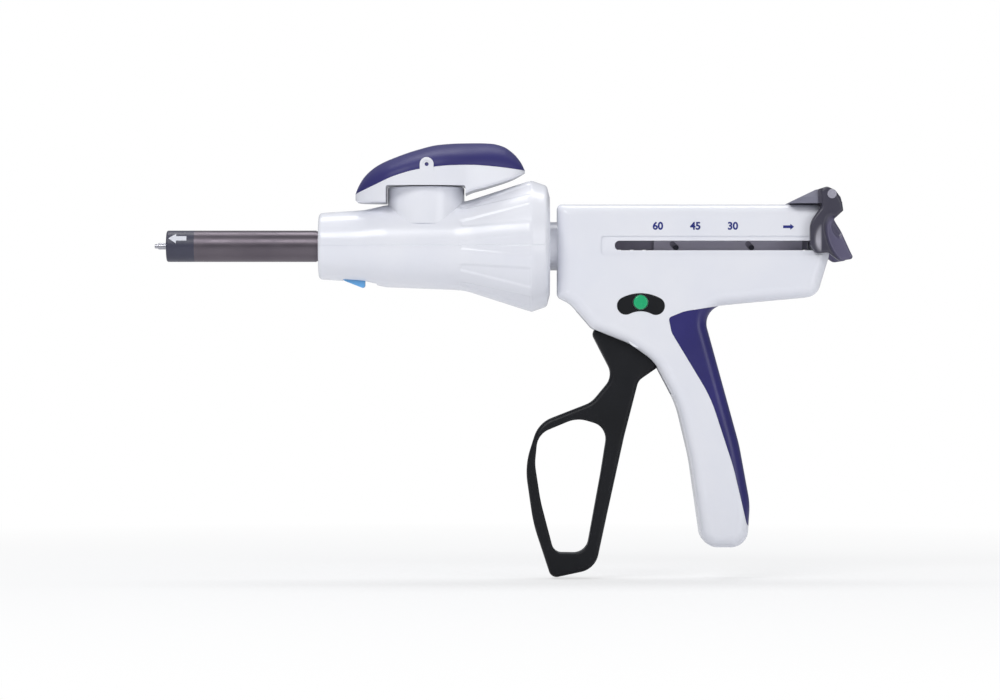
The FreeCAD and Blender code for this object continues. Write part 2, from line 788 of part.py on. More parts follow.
def make_casing(name, side):
    """One half of the casing: a hollow shell with its slot, ribs, bosses and openings."""
    body = new_body(name)
    right = side > 0

    def deep(level):
        """Sketch level that lies a distance out from the middle plane."""
        return f"{-side} * ({level})"

    hollow_shell(body, "half_width", "half_width - casing_wall", reverse=right)
    inner = "half_width - casing_wall"

    strap = new_sketch(body, "XZ")
    outline(strap, STRAP_EDGE)
    pocket(body, strap, "half_width + 1", reverse=not right)

    mouth = new_sketch(body, "XZ")
    outline(mouth, [
        ("trigger_place - 24", "trigger_height + 13"),
        ("trigger_place + 12.5", "trigger_height - 4"),
        ("trigger_place + 15.5", "trigger_height - 23"),
        ("trigger_place + 8", "trigger_height - 26"),
        ("trigger_place - 6", "trigger_height - 12"),
        ("trigger_place - 26", "trigger_height - 4"),
        ("trigger_place - 27", "trigger_height + 6"),
    ])
    pocket(body, mouth, "trigger_half_width + 1", reverse=not right)

    rib = new_sketch(body, "XZ", deep("1"))
    block(rib, "rib_start", "rack_top + slide_gap",
          "rib_start + rib_thickness", "barrel_top - casing_wall + 0.6")
    first_rib = pad(body, rib, f"{inner} - 0.9", reverse=right)
    along(body, first_rib, rib, "rib_count", "rib_pitch * (rib_count - 1)")

    recess = new_sketch(body, "XZ", deep("half_width"))
    block(recess, "recess_start", "-recess_height / 2", "casing_rear + 1", "recess_height / 2", "1.2")
    pocket(body, recess, "recess_depth", reverse=right)
    slot = new_sketch(body, "XZ", deep("half_width + 1"))
    block(slot, "slot_start", "-slot_height / 2", "slot_end", "slot_height / 2", "slot_height / 2 - 0.05")
    pocket(body, slot, "casing_wall + 2", reverse=right)

    collar_hole = new_sketch(body, "YZ", "casing_front - 1")
    circle(collar_hole, "0", "0", "hub_radius + slide_gap")
    pocket(body, collar_hole, "casing_wall + 2", reverse=True)

    boss = new_sketch(body, "XZ", deep("trigger_half_width + side_gap"))
    circle(boss, "trigger_place", "trigger_height", "trigger_pin_radius + 2.6")
    pad(body, boss, f"{inner} - trigger_half_width - side_gap + 0.2", reverse=right)
    pin_hole = new_sketch(body, "XZ", deep("trigger_half_width"))
    circle(pin_hole, "trigger_place", "trigger_height", "trigger_pin_radius + fit_gap / 2")
    pocket(body, pin_hole, "half_width - 1.2 - trigger_half_width", reverse=not right)

    bezel = new_sketch(body, "XZ", deep("half_width"))
    bezel_shape(bezel, "fit_gap")
    pocket(body, bezel, "bezel_depth", reverse=right)
    reach = "1" if right else "3"
    sleeve = new_sketch(body, "XZ", deep(f"{inner} - {reach}"))
    circle(sleeve, "button_place", "button_height", "button_radius + 1.7")
    pad(body, sleeve, f"{reach} + 0.1", reverse=right)
    button_hole = new_sketch(body, "XZ")
    circle(button_hole, "button_place", "button_height", "button_radius + fit_gap")
    pocket(body, button_hole, "half_width + 1", reverse=not right)
    if right:
        lock_boss = new_sketch(body, "XZ", deep("lock_side + lock_thickness + side_gap"))
        circle(lock_boss, "lock_place", "lock_height", "lock_pin_radius + 1.8")
        pad(body, lock_boss, f"{inner} - lock_side - lock_thickness - side_gap + 0.2", reverse=True)
        lock_hole = new_sketch(body, "XZ")
        circle(lock_hole, "lock_place", "lock_height", "lock_pin_radius + fit_gap / 2")
        pocket(body, lock_hole, f"{inner} + 1", reverse=False)


def make_strap():
    """Navy back of the grip, a channel that closes both halves behind."""
    body = new_body("grip_strap")
    hollow_shell(body, "2 * half_width", "2 * (half_width - casing_wall)", symmetric=True)
    rest = new_sketch(body, "XZ")
    block(rest, "100", "-200", "300", "100")
    outline(rest, inset(STRAP_EDGE_ROUND, "fit_gap"))
    pocket(body, rest, "100", symmetric=True)




def make_bezel(name, side):
    """Black bean-shaped inlay round one end of the safety button."""
    body = new_body(name)
    face = new_sketch(body, "XZ", f"{-side} * (half_width - bezel_depth)")
    bezel_shape(face, "0")
    circle(face, "button_place", "button_height", "button_radius + 0.25")
    pad(body, face, "bezel_depth", reverse=side > 0)


# Firing bar, release plate and return knobs

def make_rack():
    """Firing bar with saw teeth below and a socket for the control rod's head in front."""
    body = new_body("rack_bar")
    side = new_sketch(body, "XZ")
    block(side, "rack_front", "rack_root", "rack_front + rack_length", "rack_top")
    pad(body, side, "2 * rack_half_width", symmetric=True)
    nose = new_sketch(body, "YZ", "rack_front")
    circle(nose, "0", "0", "rack_half_width + 0.5")
    pad(body, nose, "9")
    tooth = new_sketch(body, "XZ")
    outline(tooth, [
        ("rack_front + 14", "rack_root + 0.2"),
        ("rack_front + 14", "rack_root - tooth_depth"),
        ("rack_front + 15", "rack_root - tooth_depth"),
        ("rack_front + 18", "rack_root + 0.2"),
    ])
    first = pad(body, tooth, "2 * rack_half_width - 1", symmetric=True)
    along(body, first, tooth, "tooth_count", "tooth_pitch * (tooth_count - 1)")
    bore = new_sketch(body, "XZ")
    outline(bore, [
        ("rack_front - 1", "0"),
        ("rack_front - 1", "rod_radius + slide_gap"),
        ("rack_front + 2.7", "rod_radius + slide_gap"),
        ("rack_front + 2.7", "rod_head_radius + slide_gap"),
        ("rack_front + 5.3", "rod_head_radius + slide_gap"),
        ("rack_front + 5.3", "0"),
    ])
    turn(body, bore, kind="Groove")
    slot = new_sketch(body, "XZ")
    reach = "coupling_radius + slide_gap"
    block(slot, f"{COUPLING_PLACE} - ({reach})", f"-({reach})",
          f"{COUPLING_PLACE} + release_travel + {reach}", reach, f"{reach} - 0.05")
    pocket(body, slot, "20", symmetric=True)


def make_release_pins():
    """Two cam pins on the rack's left side that carry the release plate."""
    body = new_body("release_pins")
    face = new_sketch(body, "XZ", "rack_half_width")
    circle(face, "release_pin_front", "release_pin_height", "release_pin_radius")
    circle(face, "release_pin_front + release_pin_pitch", "release_pin_height", "release_pin_radius")
    pad(body, face, "slide_gap + plate_thickness + 0.4")


def make_release_plate():
    """Plate beside the rack: angled slots lower it over the teeth when the knobs are pulled."""
    body = new_body("release_plate")
    face = new_sketch(body, "XZ", "rack_half_width + slide_gap")
    outline(face, [
        ("plate_start", "rack_root - tooth_depth + 0.6", "0.8"),
        ("plate_end", "rack_root - tooth_depth + 0.6", "0.8"),
        ("plate_end", "rack_top - 0.2", "0.8"),
        ("plate_start", "rack_top - 0.2", "0.8"),
    ])
    pad(body, face, "plate_thickness")
    angled = new_sketch(body, "XZ", "rack_half_width")
    pin = "release_pin_radius + release_play"
    tip = f"1.4142 * ({pin})"
    for place in ("release_pin_front", "release_pin_front + release_pin_pitch"):
        outline(angled, [
            (f"{place} + {tip}", "release_pin_height", f"({pin}) * 0.98"),
            (place, f"release_pin_height - {tip}", f"({pin}) * 0.98"),
            (f"{place} - release_travel - {tip}", "release_pin_height + release_travel", f"({pin}) * 0.98"),
            (f"{place} - release_travel", f"release_pin_height + release_travel + {tip}", f"({pin}) * 0.98"),
        ])
    pocket(body, angled, "plate_thickness + 2", reverse=True)


def make_coupling_rod():
    """Cross rod through both side slots, joining the knobs to the firing bar."""
    body = new_body("coupling_rod")
    face = new_sketch(body, "XZ")
    circle(face, COUPLING_PLACE, "0", "coupling_radius")
    pad(body, face, "2 * (saddle_half_width - 1.5)", symmetric=True)


def make_saddle():
    """Return knobs: an arch over the barrel with a wing down each side."""
    body = new_body("return_saddle")
    side = new_sketch(body, "XZ")
    top = "barrel_top + saddle_gap"
    outline(side, [
        (COUPLING_PLACE + " - 10.6", top),
        (COUPLING_PLACE + " + 0.2", "barrel_top + 5.8", "5"),
        (COUPLING_PLACE + " + 4.8", "barrel_top + 7.1", "2"),
        (COUPLING_PLACE + " + 9.8", "barrel_top + 5.6", "2"),
        (COUPLING_PLACE + " + 11.8", "barrel_top - 1", "2"),
        (COUPLING_PLACE + " + 8.6", "9", "4"),
        (COUPLING_PLACE + " + 16.2", "-4.6", "1.4"),
        (COUPLING_PLACE + " + 11.6", "-6.6", "1.6"),
        (COUPLING_PLACE + " + 2.4", "-2.8", "3"),
        (COUPLING_PLACE + " - 2", "2", "3"),
        (COUPLING_PLACE + " - 0.2", "10.5", "6"),
        (COUPLING_PLACE + " + 3.4", top),
    ])
    pad(body, side, "2 * saddle_half_width", symmetric=True)
    level = value("saddle_half_width")
    tests = [flat_at("Y", level), flat_at("Y", -level)]
    soften(body, "1.2", lambda edge: any(test(edge) for test in tests))
    room = new_sketch(body, "YZ", "casing_rear - 40")
    wide = "half_width + saddle_gap"
    outline(room, [
        (f"-({wide})", "-60"),
        (wide, "-60"),
        (wide, top, "edge_radius"),
        (f"-({wide})", top, "edge_radius"),
    ])
    pocket(body, room, "100", reverse=True)
    rod = new_sketch(body, "XZ")
    circle(rod, COUPLING_PLACE, "0", "coupling_radius + 0.02")
    pocket(body, rod, "2 * (saddle_half_width - 1.5)", symmetric=True)


# Trigger, pawl and their pins

LOOP_OUTLINE = [
    ("150.2", "-76", "8"),
    ("166", "-69.4", "12"),
    ("178.6", "-73.2", "7"),
    ("175.6", "-92", "60"),
    ("169.7", "-124.2", "6"),
    ("156.8", "-124", "4"),
    ("151.3", "-103", "60"),
    ("149", "-88", "20"),
]


def make_trigger():
    """Black firing trigger: finger loop below its pivot, forked arm above it."""
    body = new_body("trigger")
    side = new_sketch(body, "XZ")
    outline(side, [
        ("171.4", "-34.4", "3"),
        ("180.8", "-52.6", "7"),
        ("172", "-63.2", "10"),
        ("150.5", "-71.6", "12"),
        ("145", "-89", "30"),
        ("148.3", "-112", "60"),
        ("155.6", "-134.2", "3.2"),
        ("173.4", "-130.4", "9"),
        ("178.4", "-107", "50"),
        ("185", "-77", "40"),
        ("190.8", "-54.4", "5"),
        ("198.6", "-49", "4"),
        ("trigger_place + 12", "trigger_height + 6", "6"),
        ("pawl_place + 4", "pawl_height + 3.4", "3"),
        ("pawl_place - 5", "pawl_height + 3.4", "3"),
        ("trigger_place - 7", "trigger_height + 8", "6"),
    ])
    pad(body, side, "2 * trigger_half_width", symmetric=True)
    level = value("trigger_half_width")
    tests = [flat_at("Y", level), flat_at("Y", -level)]
    soften(body, "trigger_edge", lambda edge: any(test(edge) for test in tests))
    loop = new_sketch(body, "XZ")
    outline(loop, LOOP_OUTLINE)
    pocket(body, loop, "100", symmetric=True)
    walls = [face for face in body.Tip.Shape.Faces if face.BoundBox.YLength > 2 * level - 0.01]

    def on_rim(edge):
        """Edges of the loop's two rims: they bound a wall that runs the full width."""
        flat = any(test(edge) for test in tests)
        return flat and any(edge.isSame(own) for wall in walls for own in wall.Edges)

    soften(body, "loop_edge", on_rim)
    window = new_sketch(body, "XZ")
    reach = "button_height - trigger_height"
    bean(window, "trigger_place", "trigger_height", reach, "button_radius + 0.5",
         "89.5", "89.5 - trigger_swing - 1")
    pocket(body, window, "100", symmetric=True)
    fork = new_sketch(body, "XZ")
    block(fork, "pawl_place - 20", "pawl_height - 4", "pawl_place + 20", "pawl_height + 20")
    pocket(body, fork, "2 * (pawl_half_width + side_gap)", symmetric=True)
    holes = new_sketch(body, "XZ")
    circle(holes, "trigger_place", "trigger_height", "trigger_pin_radius + fit_gap")
    circle(holes, "pawl_place", "pawl_height", "pawl_pin_radius + 0.02")
    pocket(body, holes, "100", symmetric=True)


def cross_pin(name, x, z, radius, half):
    """Plain pin across the handle."""
    body = new_body(name)
    face = new_sketch(body, "XZ")
    circle(face, x, z, radius)
    pad(body, face, f"2 * ({half})", symmetric=True)


def make_pawl():
    """Pawl between the trigger's fork, its tooth just below the rack."""
    body = new_body("pawl")
    side = new_sketch(body, "XZ")
    tip = "rack_root - tooth_depth - 3 * slide_gap"
    outline(side, [
        ("pawl_place + 2.6", "pawl_height - 1.6", "1.4"),
        ("pawl_place + 2.2", "pawl_height + 2.6", "1.4"),
        ("pawl_place - 7", tip, "0.4"),
        ("pawl_place - 9", tip, "0.3"),
        ("pawl_place - 8.2", f"{tip} - 2.4", "0.8"),
        ("pawl_place - 1.6", "pawl_height - 2.6", "1.4"),
    ])
    pad(body, side, "2 * pawl_half_width", symmetric=True)
    eye = new_sketch(body, "XZ")
    circle(eye, "pawl_place", "pawl_height", "pawl_pin_radius + fit_gap")
    pocket(body, eye, "100", symmetric=True)


# Safety button and locking member

def make_plunger():
    """Green safety button: one plunger whose two ends stand out of the two halves."""
    body = new_body("safety_plunger")
    face = new_sketch(body, "XZ")
    circle(face, "button_place", "button_height", "button_radius")
    pad(body, face, "2 * (half_width + button_proud)", symmetric=True)
    level = value("half_width + button_proud")
    tests = [flat_at("Y", level), flat_at("Y", -level)]
    soften(body, "0.7", lambda edge: any(test(edge) for test in tests))


def make_locking_member():
    """Lever that blocks the firing bar until the safety button is pushed."""
    body = new_body("locking_member")
    side = new_sketch(body, "XZ", "-(lock_side + lock_thickness)")
    outline(side, [
        ("lock_place - 9.5", "-4.6", "0.6"),
        ("lock_place - 6.5", "-4.6", "0.6"),
        ("lock_place - 5", "lock_height + 5", "3"),
        ("lock_place + 3", "lock_height + 2.4", "2"),
        ("button_place - button_radius - 0.6", "button_height + 3.4", "1"),
        ("button_place - button_radius - 0.6", "button_height - 1.6", "1"),
        ("lock_place", "lock_height - 4", "2.5"),
        ("lock_place - 8.5", "lock_height + 4", "3"),
    ])
    pad(body, side, "lock_thickness")
    hook = new_sketch(body, "XZ")
    block(hook, "lock_place - 9.4", "-8", "lock_place - 6.7", "-4.6", "0.4")
    pad(body, hook, "lock_side + 0.5", reverse=True)
    eye = new_sketch(body, "XZ")
    circle(eye, "lock_place", "lock_height", "lock_pin_radius + fit_gap")
    pocket(body, eye, "lock_side + lock_thickness + 1")


def make_lock_pin():
    """Pivot pin of the locking member, in the right half's boss."""
    body = new_body("lock_pin")
    face = new_sketch(body, "XZ", "-(lock_side - 0.6)")
    circle(face, "lock_place", "lock_height", "lock_pin_radius")
    pad(body, face, "half_width - casing_wall + 1 - lock_side + 0.6", reverse=True)


# Unload button

def make_unload_button():
    """Light blue button in the collar's slot, on a slider that runs along the tube."""
    body = new_body("unload_button")
    side = new_sketch(body, "XZ")
    outline(side, [
        ("unload_place", "unload_base - 1"),
        ("unload_place", "unload_tip + 3.4", "0.6"),
        ("unload_place + unload_length", "unload_tip", "1"),
        ("unload_place + unload_length", "unload_base - 1"),
    ])
    pad(body, side, "2 * unload_half_width", symmetric=True)
    slider = new_sketch(body, "XZ")
    block(slider, "collar_start + collar_wall + 2.4", "unload_base - 1.2",
          "unload_place + unload_length + 6", "-(shaft_radius + slide_gap)")
    pad(body, slider, "6", symmetric=True)


# Springs

def coil(name, radius, wire, length, turns, place):
    """Coil spring along X: a round wire swept along a helix, from a place onwards."""
    ring = value(radius)
    pitch = (value(length) - 2 * value(wire)) / turns
    helix = Part.makeHelix(pitch, pitch * turns, ring)
    section = Part.Wire(Part.makeCircle(value(wire), Vector(ring, 0, 0), Vector(0, 1, 0)))
    spring = node(DOC.addObject("Part::Feature", name + "_shape"), name)
    spring.Shape = Part.Wire(helix).makePipeShell([section], True, True)
    start = Vector(*[value(part) for part in place]) + Vector(value(wire), 0, 0)
    spring.Placement = FreeCAD.Placement(start, FreeCAD.Rotation(Vector(0, 1, 0), 90))


def make_unload_spring():
    """Compression spring between the unload button's slider and the collar's bulkhead."""
    start = "unload_place + unload_length + 6 + fit_gap"
    coil("unload_spring", "unload_coil_radius", "unload_wire_radius",
         f"bulkhead_place + 4 - fit_gap - ({start})", 11, (start, "0", "unload_coil_height"))


def check_and_export():
    """Stop on any failed object or bad shape, then write one file for each piece."""
    for obj in DOC.Objects:
        faults = [state for state in obj.State if state in ("Invalid", "Error")]
        if faults:
            raise RuntimeError(f"{obj.Label} is {faults}")
    for obj in NODES:
        if obj.Shape.isNull() or not obj.Shape.isValid():
            raise RuntimeError(f"{obj.Label} has no valid shape")
    os.makedirs("parts", exist_ok=True)
    for obj in NODES:
        obj.Shape.exportStep(f"parts/{obj.Label}.step")
        box = obj.Shape.BoundBox
        print(f"{obj.Label:22s} {len(obj.Shape.Solids)} solid  volume {obj.Shape.Volume:9.1f}  "
              f"X {box.XMin:.1f} {box.XMax:.1f}  Y {box.YMin:.1f} {box.YMax:.1f}  "
              f"Z {box.ZMin:.1f} {box.ZMax:.1f}")


make_tube()
make_load_ring()
make_rod_guide()
make_control_rod()
make_link()
make_collar_upper()
make_collar_lower()
make_hub_ring()
make_lever_base()
make_lever_cap()
make_lever_axle()
make_lever_cam()
make_casing("casing_left", -1)
make_casing("casing_right", 1)
make_strap()
make_bezel("button_bezel_left", -1)
make_bezel("button_bezel_right", 1)
make_rack()
make_release_pins()
make_release_plate()
make_coupling_rod()
make_saddle()
make_trigger()
cross_pin("trigger_pin", "trigger_place", "trigger_height", "trigger_pin_radius", "half_width - 1.4")
cross_pin("pawl_pin", "pawl_place", "pawl_height", "pawl_pin_radius", "trigger_half_width")
make_pawl()
make_plunger()
make_locking_member()
make_lock_pin()
make_unload_button()
make_unload_spring()
DOC.recompute()
check_and_export()
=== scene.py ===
"""Studio scene of an endoscopic linear stapler: finishes, printed scale and shaped pieces on the frame."""

from __future__ import annotations

import logging
import math
from collections.abc import Callable
from dataclasses import dataclass, field
from enum import Enum

import bmesh
import bpy
from mathutils import Matrix, Vector, geometry, kdtree


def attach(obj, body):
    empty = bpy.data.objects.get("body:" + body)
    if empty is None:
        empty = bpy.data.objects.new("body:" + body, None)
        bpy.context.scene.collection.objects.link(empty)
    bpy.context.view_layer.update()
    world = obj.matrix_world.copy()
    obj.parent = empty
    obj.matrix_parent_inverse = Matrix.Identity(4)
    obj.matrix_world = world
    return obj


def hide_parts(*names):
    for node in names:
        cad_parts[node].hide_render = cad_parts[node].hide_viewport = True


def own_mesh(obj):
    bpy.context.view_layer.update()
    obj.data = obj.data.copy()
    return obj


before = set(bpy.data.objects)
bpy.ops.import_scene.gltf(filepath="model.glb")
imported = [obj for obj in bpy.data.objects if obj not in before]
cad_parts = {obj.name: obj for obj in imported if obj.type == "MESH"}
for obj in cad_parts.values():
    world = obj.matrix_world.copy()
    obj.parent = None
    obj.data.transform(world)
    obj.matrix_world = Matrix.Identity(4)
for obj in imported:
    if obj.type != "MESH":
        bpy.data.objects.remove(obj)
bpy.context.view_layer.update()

log = logging.getLogger("stapler")

Color = tuple[float, float, float]
Flat = tuple[float, float]
Point = tuple[float, float, float]
ToneAndPaintedLight = tuple[float, float, float, float]
Socket = bpy.types.NodeSocket
Tree = bpy.types.NodeTree
Fed = float | tuple[float, ...] | bpy.types.NodeSocket | bpy.types.Material

MM = 0.001


def from_display(red: float, green: float, blue: float) -> Color:
    """Turn a display colour of 0 to 255 into linear light.

    Args:
        red: Red as it shows on a screen.
        green: Green as it shows on a screen.
        blue: Blue as it shows on a screen.

    Returns:
        The same colour in linear light, each part from 0 to 1.
    """
    parts = (red / 255.0, green / 255.0, blue / 255.0)
    return tuple(p / 12.92 if p <= 0.04045 else ((p + 0.055) / 1.055) ** 2.4 for p in parts)


class Side(Enum):
    """The two sides of the grip, named as the person who holds it sees them."""

    LEFT = -1.0
    RIGHT = 1.0

    @property
    def label(self) -> str:
        """The side's name, as the names of pieces carry it."""
        return self.name.lower()


class Texture(Enum):
    """What the surface of a finish does to light besides its colour."""

    MOULDED = "moulded"
    SPARKED = "sparked"
    BRUSHED = "brushed"


def feed(node: bpy.types.Node, feeds: dict[str | int, Fed]) -> None:
    """Link or set a node's inputs.

    Args:
        node: The node.
        feeds: What each input gets, by its name or number: a socket to link, or a value.
    """
    for key, value in feeds.items():
        if isinstance(value, Socket):
            node.id_data.links.new(value, node.inputs[key])
        else:
            node.inputs[key].default_value = value


def add(
    tree: Tree, kind: str, feeds: dict[str | int, Fed] | None = None, **settings: object
) -> bpy.types.Node:
    """Add a node to a tree.

    Args:
        tree: The tree.
        kind: The node's type.
        feeds: What its inputs get.
        settings: The node's own properties, which are set first.

    Returns:
        The node.
    """
    node = tree.nodes.new(kind)
    for key, value in settings.items():
        setattr(node, key, value)
    feed(node, feeds or {})
    return node


def new_group(name: str, kind: str, inputs: dict[str, float | Color | str], outputs: dict[str, str]) -> Tree:
    """Make an empty node group with its sockets and with nodes named In and Out.

    Args:
        name: Name of the group.
        kind: Type of the tree.
        inputs: Each input's name with its value, a number or a colour, or else with its socket type.
        outputs: Each output's name and its socket type.

    Returns:
        The group.
    """
    tree = bpy.data.node_groups.new(name, kind)
    for key, value in inputs.items():
        kinds = {float: "NodeSocketFloat", tuple: "NodeSocketColor", str: value}
        socket = tree.interface.new_socket(key, in_out="INPUT", socket_type=kinds[type(value)])
        if not isinstance(value, str):
            socket.default_value = (*value, 1.0) if isinstance(value, tuple) else value
    for key, value in outputs.items():
        tree.interface.new_socket(key, in_out="OUTPUT", socket_type=value)
    tree.nodes.new("NodeGroupInput").name = "In"
    tree.nodes.new("NodeGroupOutput").name = "Out"
    return tree


def mix(share: Socket, first: Socket, second: Socket, kind: str = "FLOAT") -> Socket:
    """Mix two values, or two colours where the kind is RGBA."""
    feeds = {"Factor": share, "A": first, "B": second}
    return add(share.id_data, "ShaderNodeMix", feeds, data_type=kind).outputs["Result"]


class ShaderKit:
    """The node groups that several finishes share, each built once."""

    HEIGHT = {"Height": "NodeSocketFloat"}

    def __init__(self) -> None:
        """Build every shared group."""
        self.tone = self._tone_group()
        self.textures = {
            Texture.MOULDED: self._moulded_group(),
            Texture.SPARKED: self._sparked_group(),
            Texture.BRUSHED: self._brushed_group(),
        }

    @staticmethod
    def _start(
        name: str, inputs: dict[str, float | Color], outputs: dict[str, str]
    ) -> tuple[Tree, bpy.types.NodeOutputs, Socket]:
        """Start a shader group.

        Args:
            name: Name of the group.
            inputs: Each input's name and its value, a number or a colour.
            outputs: Each output's name and its socket type.

        Returns:
            The group, the sockets of its inputs and the object coordinates.
        """
        tree = new_group(name, "ShaderNodeTree", inputs, outputs)
        return tree, tree.nodes["In"].outputs, add(tree, "ShaderNodeTexCoord").outputs["Object"]

    @staticmethod
    def _noise(place: Socket, scale: Socket | float, detail: float) -> Socket:
        """Add a noise texture with finer layers as detail, and return its value."""
        feeds = {"Vector": place, "Scale": scale, "Detail": detail}
        return add(place.id_data, "ShaderNodeTexNoise", feeds).outputs["Fac"]

    @staticmethod
    def _remap(value: Socket, span: Flat, high: Socket) -> Socket:
        """Stretch a value from a span to one that goes from 0 up to another value."""
        feeds = {"Value": value, "From Min": span[0], "From Max": span[1], "To Max": high}
        return add(value.id_data, "ShaderNodeMapRange", feeds).outputs["Result"]

    def _tone_group(self) -> Tree:
        """Build the group that drifts a colour a little and dulls it where hands touch.

        Returns:
            The group, which puts out a colour and a roughness.
        """
        tree, given, place = self._start(
            "colour_drift_and_handling",
            {
                "Base": (0.5, 0.5, 0.5), "Drift": (0.5, 0.5, 0.5), "Amount": 0.2, "Patch Scale": 40.0,
                "Roughness": 0.3, "Handling": 0.05,
            },
            {"Color": "NodeSocketColor", "Roughness": "NodeSocketFloat"},
        )
        patches = self._noise(place, given["Patch Scale"], 3.0)
        share = self._remap(patches, (0.35, 0.65), given["Amount"])
        smears = self._noise(place, 95.0, 5.0)
        dulled = self._remap(smears, (0.42, 0.7), given["Handling"])
        total = add(tree, "ShaderNodeMath", {0: given["Roughness"], 1: dulled}, operation="ADD")
        feed(tree.nodes["Out"], {
            "Color": mix(share, given["Base"], given["Drift"], "RGBA"), "Roughness": total.outputs["Value"],
        })
        return tree

    def _moulded_group(self) -> Tree:
        """Build the height of a polished mould: long soft waves with a trace of fine grain.

        Returns:
            The group, which puts out a height from 0 to 1.
        """
        tree, given, place = self._start("moulded_surface", {"Wave Scale": 260.0, "Grain": 0.12}, self.HEIGHT)
        waves = self._noise(place, given["Wave Scale"], 1.0)
        grain = self._noise(place, 4200.0, 2.0)
        feed(tree.nodes["Out"], {"Height": mix(given["Grain"], waves, grain)})
        return tree

    def _sparked_group(self) -> Tree:
        """Build the height of a spark-eroded mould: fine round pits, close together.

        Returns:
            The group, which puts out a height from 0 to 1.
        """
        tree, given, place = self._start(
            "spark_eroded_surface", {"Pit Scale": 2600.0, "Unevenness": 0.35}, self.HEIGHT
        )
        feeds = {"Vector": place, "Scale": given["Pit Scale"]}
        pits = add(tree, "ShaderNodeTexVoronoi", feeds, feature="SMOOTH_F1").outputs["Distance"]
        waves = self._noise(place, 900.0, 2.0)
        feed(tree.nodes["Out"], {"Height": mix(given["Unevenness"], pits, waves)})
        return tree

    def _brushed_group(self) -> Tree:
        """Build the height of ground or drawn metal: fine lines along one axis.

        Returns:
            The group, which puts out a height from 0 to 1.
        """
        tree, given, place = self._start(
            "drawn_metal_lines", {"Along X": 30.0, "Across Y": 3000.0, "Across Z": 3000.0}, self.HEIGHT
        )
        stretch = add(tree, "ShaderNodeCombineXYZ", {
            "X": given["Along X"], "Y": given["Across Y"], "Z": given["Across Z"],
        })
        feeds = {0: place, 1: stretch.outputs["Vector"]}
        scaled = add(tree, "ShaderNodeVectorMath", feeds, operation="MULTIPLY")
        feed(tree.nodes["Out"], {"Height": self._noise(scaled.outputs["Vector"], 1.0, 3.0)})
        return tree


@dataclass(frozen=True)
class Finish:
    """One surface finish of the instrument.

    Attributes:
        name: Name of the material.
        slot: The record's material slot that it belongs to; not used.
        base: Main colour as it shows on a screen, each part from 0 to 255.
        drift: The colour that patches of it lean to, given in the same way.
        amount: How far the patches lean, from 0 to 1.
        roughness: Roughness of the cleanest places.
        handling: What handling adds to the roughness.
        texture: Which height the surface has.
        depth: Depth of that height in metres.
        metallic: 1 for bare metal.
        specular: Strength of the plastic's own gloss.
        has_tone_and_painted_light: Whether the piece carries its own attribute of colour with painted light and
            shade, laid over the colour by its alpha.
    """

    name: str
    slot: str
    base: Color
    drift: Color
    amount: float
    roughness: float
    handling: float
    texture: Texture
    depth: float
    metallic: float = 0.0
    specular: float = 0.5
    has_tone_and_painted_light: bool = False

    def material(self, kit: ShaderKit) -> bpy.types.Material:
        """Build the material, or return it if it is built already.

        Args:
            kit: The shared node groups.

        Returns:
            The finished material.
        """
        known = bpy.data.materials.get(self.name)
        if known:
            return known
        material = bpy.data.materials.new(self.name)
        material.use_nodes = True
        tree = material.node_tree
        tones = {
            "Base": (*from_display(*self.base), 1.0), "Drift": (*from_display(*self.drift), 1.0),
            "Amount": self.amount, "Roughness": self.roughness, "Handling": self.handling,
        }
        tone = add(tree, "ShaderNodeGroup", tones, node_tree=kit.tone).outputs
        surface = add(tree, "ShaderNodeGroup", node_tree=kit.textures[self.texture]).outputs
        relief = {"Strength": 1.0, "Distance": self.depth, "Height": surface["Height"]}
        bump = add(tree, "ShaderNodeBump", relief).outputs
        feed(tree.nodes["Principled BSDF"], {
            "Metallic": self.metallic, "Specular IOR Level": self.specular, "Roughness": tone["Roughness"],
            "Base Color": self._with_tone_and_painted_light(tone["Color"]), "Normal": bump["Normal"],
        })
        return material

    def _with_tone_and_painted_light(self, color: Socket) -> Socket:
        """Lay the piece's own colour with painted light and shade over the colour, if it has one.

        Args:
            color: The colour of the rest of the surface.

        Returns:
            The colour of the whole surface.
        """
        if not self.has_tone_and_painted_light:
            return color
        # The knob's attribute holds the dish colour, painted shade in the pocket and a painted highlight on the
        # crescent.
        tone_and_painted_light = add(color.id_data, "ShaderNodeAttribute", attribute_name="tone_and_painted_light").outputs
        return mix(tone_and_painted_light["Alpha"], color, tone_and_painted_light["Color"], "RGBA")


WHITE = Finish(
    "white_casing_plastic", "white_plastic", (236, 237, 243), (229, 231, 240),
    0.5, 0.2, 0.07, Texture.MOULDED, 0.00003,
)
NAVY_STRAP = Finish(
    "navy_overmould", "navy_grip", (42, 38, 108), (34, 31, 92),
    0.6, 0.3, 0.1, Texture.SPARKED, 0.00001,
)
NAVY_CAP = Finish(
    "navy_lever_plastic", "navy_plastic", (44, 41, 108), (38, 35, 96),
    0.5, 0.46, 0.08, Texture.MOULDED, 0.00001,
)
BLACK = Finish(
    "black_trigger_plastic", "black_plastic", (9, 11, 16), (15, 17, 24),
    0.6, 0.42, 0.12, Texture.SPARKED, 0.00001, specular=0.3,
)
GREY = Finish(
    "dark_grey_knob_plastic", "grey_plastic", (66, 64, 78), (56, 54, 68),
    0.6, 0.3, 0.12, Texture.SPARKED, 0.00001,
)
